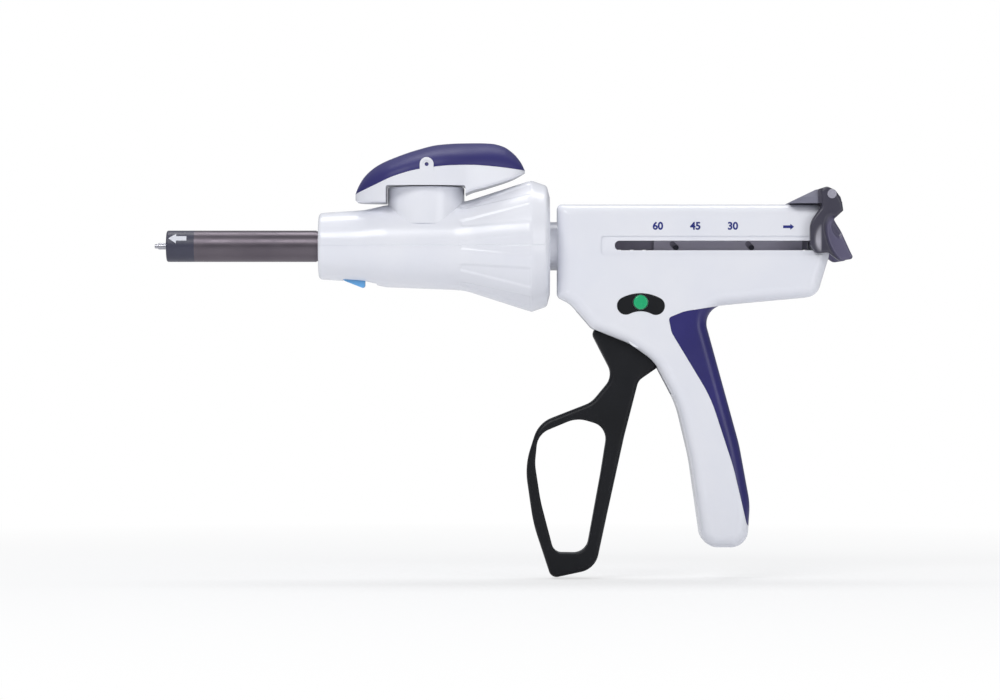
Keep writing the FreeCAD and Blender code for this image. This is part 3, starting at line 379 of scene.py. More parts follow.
# Grey knob plastic overlaid with the knob's attribute: dish colour, painted shade and a painted highlight.
KNOB = Finish(
    "dished_knob_plastic", "grey_plastic", (66, 64, 78), (56, 54, 68),
    0.6, 0.3, 0.12, Texture.SPARKED, 0.00001, has_tone_and_painted_light=True,
)
RAMP = Finish(
    "ramp_plastic", "grey_plastic", (124, 124, 140), (112, 112, 128),
    0.6, 0.34, 0.12, Texture.SPARKED, 0.00001,
)
DISC = Finish(
    "pale_disc_plastic", "grey_plastic", (168, 166, 178), (156, 154, 168),
    0.6, 0.34, 0.12, Texture.SPARKED, 0.00001,
)
GREEN = Finish(
    "green_button_plastic", "green_plastic", (28, 176, 116), (22, 160, 104),
    0.5, 0.25, 0.08, Texture.MOULDED, 0.00001,
)
BLUE = Finish(
    "light_blue_button_plastic", "blue_plastic", (112, 176, 232), (98, 164, 224),
    0.5, 0.25, 0.08, Texture.MOULDED, 0.00001,
)
SHAFT = Finish(
    "shaft_satin_metal", "shaft_metal", (112, 105, 112), (98, 91, 99),
    0.6, 0.36, 0.08, Texture.BRUSHED, 0.000006, metallic=1.0,
)
RING = Finish(
    "dark_ring_coating", "ring_metal", (62, 62, 80), (54, 54, 72),
    0.6, 0.36, 0.08, Texture.BRUSHED, 0.000006,
)
# The bar and the plate sit deep in the slot; their colours are painted lighter to stand in for light there, the
# plate lighter still.
BAR = Finish(
    "milled_bar_steel_painted_lighter", "bar_steel", (176, 170, 190), (160, 154, 174),
    0.7, 0.42, 0.1, Texture.BRUSHED, 0.000008, metallic=0.1,
)
PLATE = Finish(
    "release_plate_painted_light", "bar_steel", (226, 221, 238), (208, 202, 224),
    0.7, 0.4, 0.1, Texture.BRUSHED, 0.000008, metallic=0.1,
)
STEEL = Finish(
    "turned_steel", "steel", (178, 178, 184), (160, 160, 168),
    0.5, 0.24, 0.08, Texture.BRUSHED, 0.000005, metallic=1.0,
)
INK = Finish(
    "dark_blue_ink", "blue_plastic", (26, 38, 126), (22, 32, 112),
    0.6, 0.4, 0.08, Texture.MOULDED, 0.000004,
)
PALE_INK = Finish(
    "white_ink", "white_plastic", (222, 224, 232), (210, 212, 222),
    0.6, 0.4, 0.08, Texture.MOULDED, 0.000004,
)

NODE_FINISH = {
    "casing_left": WHITE, "casing_right": WHITE, "grip_strap": NAVY_STRAP,
    "button_bezel_left": BLACK, "button_bezel_right": BLACK,
    "trigger_pin": STEEL, "lock_pin": STEEL,
    "rack_bar": BAR, "release_pins": RING, "release_plate": PLATE,
    "return_saddle": GREY, "coupling_rod": STEEL,
    "trigger": BLACK, "pawl_pin": STEEL, "pawl": STEEL,
    "safety_plunger": GREEN, "locking_member": STEEL,
    "shaft_tube": SHAFT, "load_ring": RING, "rod_guide": GREY,
    "collar_upper": WHITE, "collar_lower": WHITE, "hub_ring": WHITE,
    "lever_base": WHITE, "lever_cap": NAVY_CAP, "lever_axle": STEEL, "lever_cam": STEEL,
    "articulation_link": STEEL, "control_rod": STEEL, "unload_button": BLUE, "unload_spring": STEEL,
}


def settle(piece: bpy.types.Object, body: str, finish: Finish, kit: ShaderKit) -> None:
    """Give a new piece its finish and the body that it moves with.

    Args:
        piece: The piece.
        body: Name of the body.
        finish: The finish of its whole surface.
        kit: The shared node groups.
    """
    piece.data.materials.clear()
    piece.data.materials.append(finish.material(kit))
    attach(piece, body)
    log.info("%s: %d faces", piece.name, len(piece.data.polygons))


def object_from(name: str, mesh: bpy.types.Mesh) -> bpy.types.Object:
    """Put a mesh into the scene as an object at the origin.

    Args:
        name: Name of the object.
        mesh: Its mesh, with its place in it.

    Returns:
        The object.
    """
    mesh.name = name
    piece = bpy.data.objects.new(name, mesh)
    bpy.context.scene.collection.objects.link(piece)
    return piece


def evaluated_mesh(source: bpy.types.Object) -> bpy.types.Mesh:
    """Turn an object with its modifiers into a plain mesh and delete the object.

    Args:
        source: The object.

    Returns:
        The mesh, in the object's own coordinates.
    """
    graph = bpy.context.evaluated_depsgraph_get()
    mesh = bpy.data.meshes.new_from_object(source.evaluated_get(graph))
    bpy.data.objects.remove(source)
    return mesh


def grow(shape: bpy.types.Object, tree: Tree, values: dict[str, float]) -> bpy.types.Mesh:
    """Run a geometry node tree on an object, which is used up.

    Args:
        shape: The object.
        tree: The geometry node tree.
        values: The value of each of the tree's number inputs, by its name.

    Returns:
        The mesh that comes out.
    """
    modifier = shape.modifiers.new(tree.name, "NODES")
    modifier.node_group = tree
    for item in tree.interface.items_tree:
        if item.name in values:
            modifier[item.identifier] = values[item.name]
    return evaluated_mesh(shape)


def close_tree(tree: Tree, shape: Socket, material: bpy.types.Material) -> None:
    """End a geometry node tree with real geometry that carries its material.

    Args:
        tree: The tree.
        shape: The geometry that goes out.
        material: Its material.
    """
    real = add(tree, "GeometryNodeRealizeInstances", {"Geometry": shape}).outputs["Geometry"]
    paint = add(tree, "GeometryNodeSetMaterial", {"Geometry": real, "Material": material})
    feed(tree.nodes["Out"], {"Geometry": paint.outputs["Geometry"]})


def mesh_from(
    name: str, corners: list[Point], faces: list[tuple[int, ...]], sharp: float = 40.0
) -> bpy.types.Mesh:
    """Make a closed mesh from corners in millimetres, with its faces turned outwards.

    Args:
        name: Name of the mesh.
        corners: Its corners in millimetres.
        faces: Its faces as indices of corners.
        sharp: Edges that bend more than this many degrees stay sharp.

    Returns:
        The mesh in metres, with doubled corners merged.
    """
    mesh = bpy.data.meshes.new(name)
    mesh.from_pydata([tuple(MM * value for value in corner) for corner in corners], [], faces)
    tidy_mesh(mesh, sharp)
    return mesh


def tidy_mesh(mesh: bpy.types.Mesh, sharp: float) -> None:
    """Merge a mesh's doubled corners, turn its faces outwards and smooth it up to its sharp edges.

    Args:
        mesh: The mesh, changed in place.
        sharp: Edges that bend more than this many degrees stay sharp.
    """
    work = bmesh.new()
    work.from_mesh(mesh)
    bmesh.ops.remove_doubles(work, verts=work.verts[:], dist=0.000002)
    bmesh.ops.dissolve_degenerate(work, edges=work.edges[:], dist=0.000001)
    bmesh.ops.recalc_face_normals(work, faces=work.faces[:])
    work.to_mesh(mesh)
    work.free()
    mesh.shade_smooth()
    mesh.set_sharp_from_angle(angle=math.radians(sharp))


def ring_faces(rings: int, around: int, capped: bool = True) -> list[tuple[int, ...]]:
    """List the faces of a skin over equal rings of corners.

    Args:
        rings: Number of rings.
        around: Number of corners in a ring.
        capped: Whether the last ring is closed by a face, as the first one is.

    Returns:
        The faces as indices of corners.
    """
    last = (rings - 1) * around
    faces = [tuple(range(around))]
    if capped:
        faces.append(tuple(last + i for i in reversed(range(around))))
    for first in range(0, last, around):
        ahead = first + around
        faces += [
            (first + i, first + (i + 1) % around, ahead + (i + 1) % around, ahead + i) for i in range(around)
        ]
    return faces


def arc(middle: Flat, radius: float, steps: int, sweep: float = math.tau) -> list[Flat]:
    """Place points on an arc that starts beside its middle.

    Args:
        middle: Middle of the arc.
        radius: Its radius.
        steps: Number of equal steps.
        sweep: Its angle; a full turn doesn't repeat its first point.

    Returns:
        The points.
    """
    angles = [sweep * i / steps for i in range(steps if sweep == math.tau else steps + 1)]
    return [(middle[0] + radius * math.cos(a), middle[1] + radius * math.sin(a)) for a in angles]


def bevelled(mesh: bpy.types.Mesh, width: float, bend: float | None = None) -> bpy.types.Mesh:
    """Round the edges of a mesh.

    Args:
        mesh: The mesh.
        width: Width of the rounding in millimetres.
        bend: The bend in degrees from which an edge is rounded, if it isn't the usual one.

    Returns:
        The new mesh.
    """
    shape = object_from(mesh.name, mesh)
    edge = shape.modifiers.new("edge", "BEVEL")
    edge.width = width * MM
    edge.segments = 3
    if bend:
        edge.limit_method = "ANGLE"
        edge.angle_limit = math.radians(bend)
    return evaluated_mesh(shape)


def carve(piece: bpy.types.Object, tool: bpy.types.Mesh, operation: str) -> bpy.types.Object:
    """Join a shape to a piece or cut it out of it.

    Args:
        piece: The piece, which is used up.
        tool: The other shape.
        operation: UNION or DIFFERENCE.

    Returns:
        The new piece under the old one's name.
    """
    name = piece.name
    other = object_from(tool.name, tool)
    modifier = piece.modifiers.new("carve", "BOOLEAN")
    modifier.object = other
    modifier.operation = operation
    modifier.solver = "EXACT"
    mesh = evaluated_mesh(piece)
    bpy.data.objects.remove(other)
    return object_from(name, mesh)


def rounded(corners: tuple[Point, ...], step: float) -> list[Flat]:
    """Round the corners of a closed outline and divide its long runs.

    Args:
        corners: Each corner with the radius that it is rounded to.
        step: The longest piece that the outline may have.

    Returns:
        The outline's points, in the same order.
    """
    turned: list[Flat] = []
    for index, (x, z, radius) in enumerate(corners):
        here = Vector((x, z))
        back = (Vector(corners[index - 1][:2]) - here).normalized()
        ahead = (Vector(corners[(index + 1) % len(corners)][:2]) - here).normalized()
        if not radius:
            turned.append((x, z))
            continue
        opening = back.angle(ahead)
        centre = here + (back + ahead).normalized() * (radius / math.sin(opening / 2.0))
        first = here + back * (radius / math.tan(opening / 2.0)) - centre
        last = here + ahead * (radius / math.tan(opening / 2.0)) - centre
        start = math.atan2(first.y, first.x)
        sweep = (math.atan2(last.y, last.x) - start + math.pi) % math.tau - math.pi
        parts = max(3, math.ceil(radius * abs(sweep) / step))
        for part in range(parts + 1):
            angle = start + sweep * part / parts
            turned.append((centre.x + radius * math.cos(angle), centre.y + radius * math.sin(angle)))
    divided: list[Flat] = []
    for here, there in zip(turned, turned[1:] + turned[:1]):
        parts = max(1, math.ceil(math.dist(here, there) / step))
        divided += [
            (here[0] + (there[0] - here[0]) * part / parts, here[1] + (there[1] - here[1]) * part / parts)
            for part in range(parts)
        ]
    return divided


def prism(name: str, outline: list[Flat], low: float, high: float) -> bpy.types.Mesh:
    """Extrude an outline of the side view across the instrument.

    Args:
        name: Name of the mesh.
        outline: The outline in X and Z, in millimetres.
        low: Y of one end.
        high: Y of the other end.

    Returns:
        The closed prism.
    """
    corners = [(x, y, z) for y in (low, high) for x, z in outline]
    return mesh_from(name, corners, ring_faces(2, len(outline)))


class Profile:
    """A smooth line through given points that never overshoots them."""

    def __init__(self, points: tuple[Flat, ...]) -> None:
        """Work out the line's slope at each point.

        Args:
            points: The points, from left to right.
        """
        self.points = points
        runs = [b[0] - a[0] for a, b in zip(points, points[1:])]
        steep = [(b[1] - a[1]) / run for a, b, run in zip(points, points[1:], runs)]
        self.slopes = [steep[0]]
        for before, after, left, right in zip(steep, steep[1:], runs, runs[1:]):
            if before * after <= 0.0:
                self.slopes.append(0.0)
                continue
            near, far = 2.0 * right + left, right + 2.0 * left
            self.slopes.append((near + far) / (near / before + far / after))
        self.slopes.append(steep[-1])

    def at(self, x: float) -> float:
        """Read the line.

        Args:
            x: Where to read it.

        Returns:
            Its height there, held level beyond the ends.
        """
        if x <= self.points[0][0]:
            return self.points[0][1]
        spans = zip(zip(self.points, self.points[1:]), zip(self.slopes, self.slopes[1:]))
        for (a, b), (start, end) in spans:
            if x <= b[0]:
                run = b[0] - a[0]
                t = (x - a[0]) / run
                return (
                    (1 + 2 * t) * (1 - t) ** 2 * a[1] + t * (1 - t) ** 2 * run * start
                    + t * t * (3 - 2 * t) * b[1] + t * t * (t - 1) * run * end
                )
        return self.points[-1][1]


@dataclass
class Lever:
    """The articulation lever: a white base with a skirt, a navy cap and a small ear, in millimetres.

    Attributes:
        front: Front tip.
        rear: Rear tip.
        fullness: How square the cap's cross-section is; 2 is an ellipse.
        stations: How many cross-sections the cap and the base have.
        arch_steps: Steps of the cap's arch.
        roof: Height of the base's underside over the turret.
        notch: Where the notch for the turret starts and ends.
        notch_corner: Radius of its upper corners.
        edge: Radius of the base's lower edges.
        groove: Depth of the line between cap and base.
        ear: Middle of the ear.
        ear_radius: Radius of the ear.
        ear_drop: Length of its tab below its middle.
        ear_faces: Y of its outer and its inner face.
        ear_lean: How far the outer face leans in at the foot.
        eye: Radius and floor of the shallow sink in the ear, and of the hole in it.
        top: Height of the cap along the lever.
        seam: Height of the line between cap and base.
        half: Half the lever's width.
        bottom: Height of the base's lower edge.
    """

    front: float = 76.4
    rear: float = 145.0
    fullness: float = 2.05
    stations: int = 110
    arch_steps: int = 44
    roof: float = 24.2
    notch: Flat = (89.0, 121.0)
    notch_corner: float = 0.9
    edge: float = 1.3
    groove: float = 0.12
    ear: Flat = (105.5, 32.5)
    ear_radius: float = 2.8
    ear_drop: float = 6.0
    ear_faces: Flat = (-18.6, -16.4)
    ear_lean: float = 0.72
    eye: tuple[Flat, Flat] = ((1.6, -18.05), (0.8, -17.3))
    top: Profile = field(default_factory=lambda: Profile((
        (76.4, 20.9), (77.6, 24.0), (80.3, 28.3), (85.4, 32.6), (92.8, 36.0), (101.9, 39.1), (109.9, 41.0),
        (118.4, 41.6), (126.0, 41.7), (131.4, 41.5), (136.0, 40.4), (140.0, 37.8), (143.4, 33.8), (145.0, 30.5),
    )))
    seam: Profile = field(default_factory=lambda: Profile((
        (76.4, 20.8), (84.3, 24.3), (92.8, 28.0), (102.5, 30.6), (115.5, 32.1), (124.0, 32.3), (132.6, 31.8),
        (145.0, 30.4),
    )))
    half: Profile = field(default_factory=lambda: Profile((
        (76.4, 0.0), (76.6, 4.0), (77.2, 6.6), (79.0, 9.4), (84.0, 13.4), (91.0, 16.8), (99.0, 18.0),
        (111.0, 18.0), (119.0, 17.2), (130.0, 13.8), (138.0, 11.0), (142.6, 8.6), (144.3, 6.0), (144.9, 3.0),
        (145.0, 0.0),
    )))
    bottom: Profile = field(default_factory=lambda: Profile((
        (76.4, 18.6), (77.6, 17.6), (80.0, 17.4), (118.0, 17.4), (121.0, 20.8), (130.0, 23.7), (140.0, 27.0),
        (145.0, 29.6),
    )))

    def build(self, kit: ShaderKit) -> None:
        """Build both pieces and put them in place of the CAD's.

        Args:
            kit: The shared node groups.
        """
        cap = object_from("lever_cap_shell", self._loft("lever_cap_shell", self._cap_section))
        settle(cap, "lever", NAVY_CAP, kit)
        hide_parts("lever_cap")
        base = object_from("lever_base_shell", self._loft("lever_base_shell", self._base_section))
        (start, end), low, turn = self.notch, 10.0, self.notch_corner
        view = ((start, low, 0.0), (end, low, 0.0), (end, self.roof, turn), (start, self.roof, turn))
        base = carve(base, prism("lever_notch", rounded(view, 0.4), -30.0, 30.0), "DIFFERENCE")
        base = carve(base, self._ear(), "UNION")
        tidy_mesh(base.data, 32.0)
        settle(base, "lever", WHITE, kit)
        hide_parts("lever_base")

    def _loft(self, name: str, section: Callable[[float], list[Flat]]) -> bpy.types.Mesh:
        """Skin a closed shape over cross-sections along the lever.

        Args:
            name: Name of the mesh.
            section: Gives the cross-section's points in Y and Z at an X.

        Returns:
            The closed mesh.
        """
        length = self.rear - self.front
        places = [
            self.front + length * (1.0 - math.cos(math.pi * i / self.stations)) / 2.0
            for i in range(self.stations + 1)
        ]
        rings = [[(x, y, z) for y, z in section(x)] for x in places]
        corners = [point for ring in rings for point in ring]
        return mesh_from(name, corners, ring_faces(len(rings), len(rings[0])), 50.0)

    def _cap_section(self, x: float) -> list[Flat]:
        """Give the cap's cross-section: a crowned arch on a flat bottom.

        Args:
            x: Place along the lever.

        Returns:
            Its points in Y and Z.
        """
        half, seam = self.half.at(x), self.seam.at(x)
        rise = max(self.top.at(x) - seam, 0.02)
        tuck = min(self.groove, half / 2.0)
        lift = min(self.groove, rise / 3.0)
        arch = []
        for i in range(self.arch_steps + 1):
            angle = math.pi * i / self.arch_steps
            across = math.copysign(abs(math.cos(angle)) ** (2.0 / self.fullness), math.cos(angle))
            up = abs(math.sin(angle)) ** (2.0 / self.fullness)
            arch.append((half * across, seam + lift + (rise - lift) * up))
        return [(half - tuck, seam), *arch, (tuck - half, seam)]

    def _base_section(self, x: float) -> list[Flat]:
        """Give the base's cross-section: straight sides with rounded lower edges.

        Args:
            x: Place along the lever.

        Returns:
            Its points in Y and Z.
        """
        half, seam, bottom = self.half.at(x), self.seam.at(x), self.bottom.at(x)
        round_off = min(self.edge, half / 2.0, (seam - bottom) / 2.0)
        tuck = min(self.groove, half / 2.0)
        right = [(half - tuck, seam), (half, seam - tuck)]
        for i in range(7):
            angle = math.pi / 2.0 * i / 6.0
            in_by, up_by = round_off * (1.0 - math.cos(angle)), round_off * (1.0 - math.sin(angle))
            right.append((half - in_by, bottom + up_by))
        return right + [(-y, z) for y, z in reversed(right)]

    def _ear(self) -> bpy.types.Mesh:
        """Make the ear: a leaning tab with a round top, a shallow sink and a hole.

        Returns:
            The tab on the lever's left side.
        """
        x, z = self.ear
        foot, reach = z - self.ear_drop, self.ear_radius
        outer, inner = self.ear_faces
        view = [*arc(self.ear, reach, 24, math.pi), (x - reach, foot), (x + reach, foot)]
        tab = prism("lever_ear", view, outer, inner)
        for corner in tab.vertices:
            if corner.co.y < (outer + inner) / 2.0 * MM:
                corner.co.y += self.ear_lean * MM * (z + reach - corner.co.z / MM) / (z + reach - foot)
        shape = object_from("lever_ear", bevelled(tab, 0.25))
        for radius, floor in self.eye:
            shape = carve(shape, prism("lever_eye", arc(self.ear, radius, 32), -20.0, floor), "DIFFERENCE")
        mesh = shape.data
        bpy.data.objects.remove(shape)
        return mesh


class Outline:
    """A closed outline that tells what lies inside it and how far from its sides."""

    def __init__(self, points: list[Flat]) -> None:
        """Keep the outline's points and its sides."""
        self.points = [Vector(point) for point in points]
        self.sides = list(zip(self.points, self.points[1:] + self.points[:1]))

    def contains(self, point: Vector) -> bool:
        """Tell whether a point lies inside.

        Args:
            point: The point.

        Returns:
            Whether a level line from it crosses the sides an odd number of times.
        """
        crossings = sum(
            (a.y > point.y) != (b.y > point.y)
            and point.x < (b.x - a.x) * (point.y - a.y) / (b.y - a.y) + a.x
            for a, b in self.sides
        )
        return crossings % 2 == 1

    def distance(self, point: Vector) -> float:
        """Measure a point's distance to the nearest side."""
        return min(self._to_side(point, a, b) for a, b in self.sides)

    @staticmethod
    def _to_side(point: Vector, start: Vector, end: Vector) -> float:
        """Measure a point's distance to one side.

        Args:
            point: The point.
            start: The side's first end.
            end: Its other end.

        Returns:
            The distance.
        """
        foot, share = geometry.intersect_point_line(point, start, end)
        if 0.0 <= share <= 1.0:
            return (point - foot.to_2d()).length
        return min((point - start).length, (point - end).length)


@dataclass(frozen=True)
class Oval:
    """A leaning oval in the side view that fades out at its rim, in millimetres.

    Attributes:
        middle: Its middle.
        lean: How far it leans, in degrees.
        reach: Half its width and half its height.
        soft: Width of the rim as a share of its reach.
    """

    middle: Flat
    lean: float
    reach: Flat
    soft: float

    def share(self, x: float, z: float) -> float:
        """Tell how far inside the oval a point lies.

        Args:
            x: Place along the barrel.
            z: Height.

        Returns:
            A number from 0 outside to 1 inside the rim.
        """
        turn = math.radians(self.lean)
        right, up = x - self.middle[0], z - self.middle[1]
        across = right * math.cos(turn) + up * math.sin(turn)
        along = up * math.cos(turn) - right * math.sin(turn)
        inwards = 1.0 - math.hypot(across / self.reach[0], along / self.reach[1])
        share = min(max(inwards / self.soft, 0.0), 1.0)
        return share * share * (3.0 - 2.0 * share)


@dataclass
class ReturnKnobs:
    """The return knobs: a ramp and a hub over the barrel, with a dished knob down each side, in millimetres.

    Attributes:
        inner: Distance of a knob's inner wall from the middle plane.
        outer: Distance of a knob's outermost face from it.
        edge: Radius of a knob's rounded edge.
        grid: Spacing of the points in a knob's face.
        grid_start: Lower front corner of the field that the points fill.
        grid_size: Length and height of that field.
        clear: Least distance of such a point from the outline.
        dish: The finger dish.
        dish_depth: Its depth.
        pocket: The pocket in the dish.
        pocket_depth: Its further depth.
        flute: The crescent beside the dish.
        flute_depth: Its depth.
        flute_rear: Where the crescent's straight rear edge lies.
        dish_tint: Colour of the dish.
        flute_highlight: Colour of the painted highlight on the crescent.
        side_view: A knob's corners, each with its radius.
        ramp_view: The ramp's corners.
        ramp_half: Half the ramp's width at its foot and at its top.
        hub_view: The hub's corners.
        hub_half: Half the hub's width at its foot and at its top.
        rod: Middle of the hub's light disc.
        disc: The disc's turned outline as radius and distance from the middle plane.
    """

    inner: float = 14.35
    outer: float = 18.8
    edge: float = 1.1
    grid: float = 0.42
    grid_start: Flat = (258.0, -7.5)
    grid_size: Flat = (20.0, 32.0)
    clear: float = 0.32
    dish: Oval = Oval((270.9, 1.9), 22.0, (5.0, 11.6), 0.3)
    dish_depth: float = 2.3
    pocket: Oval = Oval((269.9, 6.4), 20.0, (2.0, 4.2), 0.4)
    pocket_depth: float = 0.8
    flute: Oval = Oval((263.7, 2.8), -4.0, (2.9, 6.0), 0.35)
    flute_depth: float = 0.7
    flute_rear: float = 263.9
    dish_tint: Color = from_display(92, 88, 114)
    # Colour of the painted highlight on the crescent.
    flute_highlight: Color = from_display(176, 174, 184)
    side_view: tuple[Point, ...] = (
        (263.4, 22.4, 1.2), (266.0, 23.6, 1.6), (269.2, 22.2, 1.8), (272.0, 17.4, 1.5), (272.5, 13.9, 0.5),
        (268.8, 10.5, 0.7), (271.6, 6.0, 12.0), (276.8, -5.4, 1.1), (271.0, -6.3, 2.6), (266.4, -2.9, 2.0),
        (261.6, -3.4, 2.2), (259.2, 0.0, 3.0), (259.2, 9.5, 9.0), (264.0, 15.6, 3.0),
    )
    ramp_view: tuple[Point, ...] = (
        (250.3, 16.95, 0.2), (262.9, 16.95, 0.2), (262.9, 22.6, 0.3), (261.4, 22.3, 0.5),
    )
    ramp_half: Flat = (17.6, 15.2)
    hub_view: tuple[Point, ...] = (
        (262.5, 16.95, 0.2), (272.0, 16.95, 0.8), (271.4, 19.2, 1.5), (269.2, 22.2, 1.8), (266.0, 23.6, 1.6),
        (262.5, 22.5, 0.4),
    )
    hub_half: Flat = (18.2, 17.6)
    rod: Flat = (267.9, 20.6)
    disc: tuple[Flat, ...] = (
        (1.85, 17.2), (1.85, 18.9), (1.65, 19.1), (1.1, 19.1), (1.0, 18.95), (0.0, 18.95),
    )

    def build(self, kit: ShaderKit) -> None:
        """Build the ramp, the hub and both knobs in place of the CAD's single solid.

        Args:
            kit: The shared node groups.
        """
        shapes = [
            ("return_ramp", self._tapered(self.ramp_view, *self.ramp_half), RAMP),
            ("return_hub", self._tapered(self.hub_view, *self.hub_half), GREY),
        ]
        for side in Side:
            shapes.append((f"return_knob_{side.label}", self._knob(side), KNOB))
            shapes.append((f"return_disc_{side.label}", self._disc(side), DISC))
        for name, mesh, finish in shapes:
            piece = object_from(name, mesh)
            settle(piece, "return_knobs", finish, kit)
            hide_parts("return_saddle")

    @staticmethod
    def _tapered(view: tuple[Point, ...], wide: float, narrow: float) -> bpy.types.Mesh:
        """Extrude a view across the barrel, its upper part drawn in towards the middle.

        Args:
            view: The corners in X and Z, each with its radius.
            wide: Half the width at the bottom.
            narrow: Half the width at the top.

        Returns:
            The closed mesh.
        """
        outline = rounded(view, 0.6)
        low = min(z for _, z in outline)
        high = max(z for _, z in outline)
        ridge = low + 0.42 * (high - low)
        mesh = prism("tapered", outline, -wide, wide)
        work = bmesh.new()
        work.from_mesh(mesh)
        bmesh.ops.bisect_plane(
            work, geom=work.verts[:] + work.edges[:] + work.faces[:], plane_co=(0.0, 0.0, ridge * MM),
            plane_no=(0.0, 0.0, 1.0),
        )
        for corner in work.verts:
            share = max(0.0, (corner.co.z / MM - ridge) / (high - ridge))
            corner.co.y *= 1.0 - share * (1.0 - narrow / wide)
        work.to_mesh(mesh)
        work.free()
        mesh = bevelled(mesh, 0.3, 28.0)
        tidy_mesh(mesh, 40.0)
        return mesh

    def _depth(self, x: float, z: float) -> tuple[float, ToneAndPaintedLight]:
        """Give the depth of the knob's hollows at a point, and its colour with painted light and shade.

        Args:
            x: Place along the barrel.
            z: Height.

        Returns:
            The depth in millimetres, and the tint with its strength as alpha.
        """
        dish, pocket = self.dish.share(x, z), self.pocket.share(x, z)
        flute = self.flute.share(x, z) * min(max((self.flute_rear - x) / 0.5, 0.0), 1.0)
        depth = self.dish_depth * dish + self.pocket_depth * pocket + self.flute_depth * flute
        # The crescent gets a painted highlight, strongest near a height of 1.4 mm and weaker above and below.
        if flute > dish:
            return depth, (*self.flute_highlight, flute * (1.0 - 0.45 * min(abs(z - 1.4) / 5.0, 1.0)))
        # Painted shade darkens the dish inside the pocket.
        shaded = tuple(value * (1.0 - 0.35 * pocket) for value in self.dish_tint)
        return depth, (*shaded, dish)

    def _filling(self, outline: Outline) -> list[Vector]:
        """Scatter points inside a knob's outline: an even field, and finer rows along its sides.

        Args:
            outline: The outline.

        Returns:
            The points.
        """
        spots = []
        rise = self.grid * 0.866
        for row in range(math.ceil(self.grid_size[1] / rise)):
            for column in range(math.ceil(self.grid_size[0] / self.grid)):
                spot = Vector((
                    self.grid_start[0] + self.grid * (column + 0.5 * (row % 2)),
                    self.grid_start[1] + rise * row,
                ))
                if outline.contains(spot) and outline.distance(spot) > self.clear:
                    spots.append(spot)
        for here, ahead in outline.sides:
            along = (ahead - here).normalized()
            for offset in (0.08, 0.22):
                for sign in (-1.0, 1.0):
                    spot = (here + ahead) / 2.0 + Vector((-along.y, along.x)) * sign * offset
                    if outline.contains(spot) and outline.distance(spot) > 0.8 * offset:
                        spots.append(spot)
        return spots

    def _knob(self, side: Side) -> bpy.types.Mesh:
        """Make one knob: the side view's outline with rounded edges and a finger dish.

        Args:
            side: The side that it is on.

        Returns:
            The closed knob, with its colour and painted light and shade on its corners.
        """
        outline = Outline(rounded(self.side_view, self.grid))
        count = len(outline.points)
        spots = outline.points + self._filling(outline)
        flat, _, triangles, origins, _, _ = geometry.delaunay_2d_cdt(
            spots, [(i, (i + 1) % count) for i in range(count)], [], 1, 0.0001,
        )
        place = {first: index for index, sources in enumerate(origins) for first in sources if first < count}
        corners: list[Point] = []
        tones_and_painted_light: list[ToneAndPaintedLight] = []
        for point in flat:
            inset = min(outline.distance(point), self.edge)
            drop = self.edge - math.sqrt(max(self.edge**2 - (self.edge - inset) ** 2, 0.0))
            depth, tone_and_painted_light = self._depth(point.x, point.y)
            corners.append((point.x, side.value * (self.outer - drop - depth), point.y))
            tones_and_painted_light.append(tone_and_painted_light)
        total = len(flat)
        corners += [(point.x, side.value * self.inner, point.y) for point in flat]
        faces: list[tuple[int, ...]] = [tuple(face) for face in triangles]
        faces += [tuple(total + i for i in reversed(face)) for face in triangles]
        for i in range(count):
            here, ahead = place[i], place[(i + 1) % count]
            faces.append((here, ahead, total + ahead, total + here))
        mesh = mesh_from("knob", corners, faces, 55.0)
        tree = kdtree.KDTree(total)
        for index in range(total):
            tree.insert([MM * value for value in corners[index]], index)
        tree.balance()
        # Store the dish colour, the painted shade and the painted highlight on the corners.
        mark = mesh.attributes.new("tone_and_painted_light", "FLOAT_COLOR", "POINT")
        for vertex in mesh.vertices:
            mark.data[vertex.index].color = tones_and_painted_light[tree.find(vertex.co)[1]]
        return mesh

    def _disc(self, side: Side) -> bpy.types.Mesh:
        """Make the light disc in the hub: a low turned button.

        Args:
            side: The side that it is on.

        Returns:
            The disc, sunk in the hub.
        """
        around = 40
        corners = [
            (x, side.value * y, z) for radius, y in self.disc for x, z in arc(self.rod, radius, around)
        ]
        return mesh_from("disc", corners, ring_faces(len(self.disc), around, capped=False))


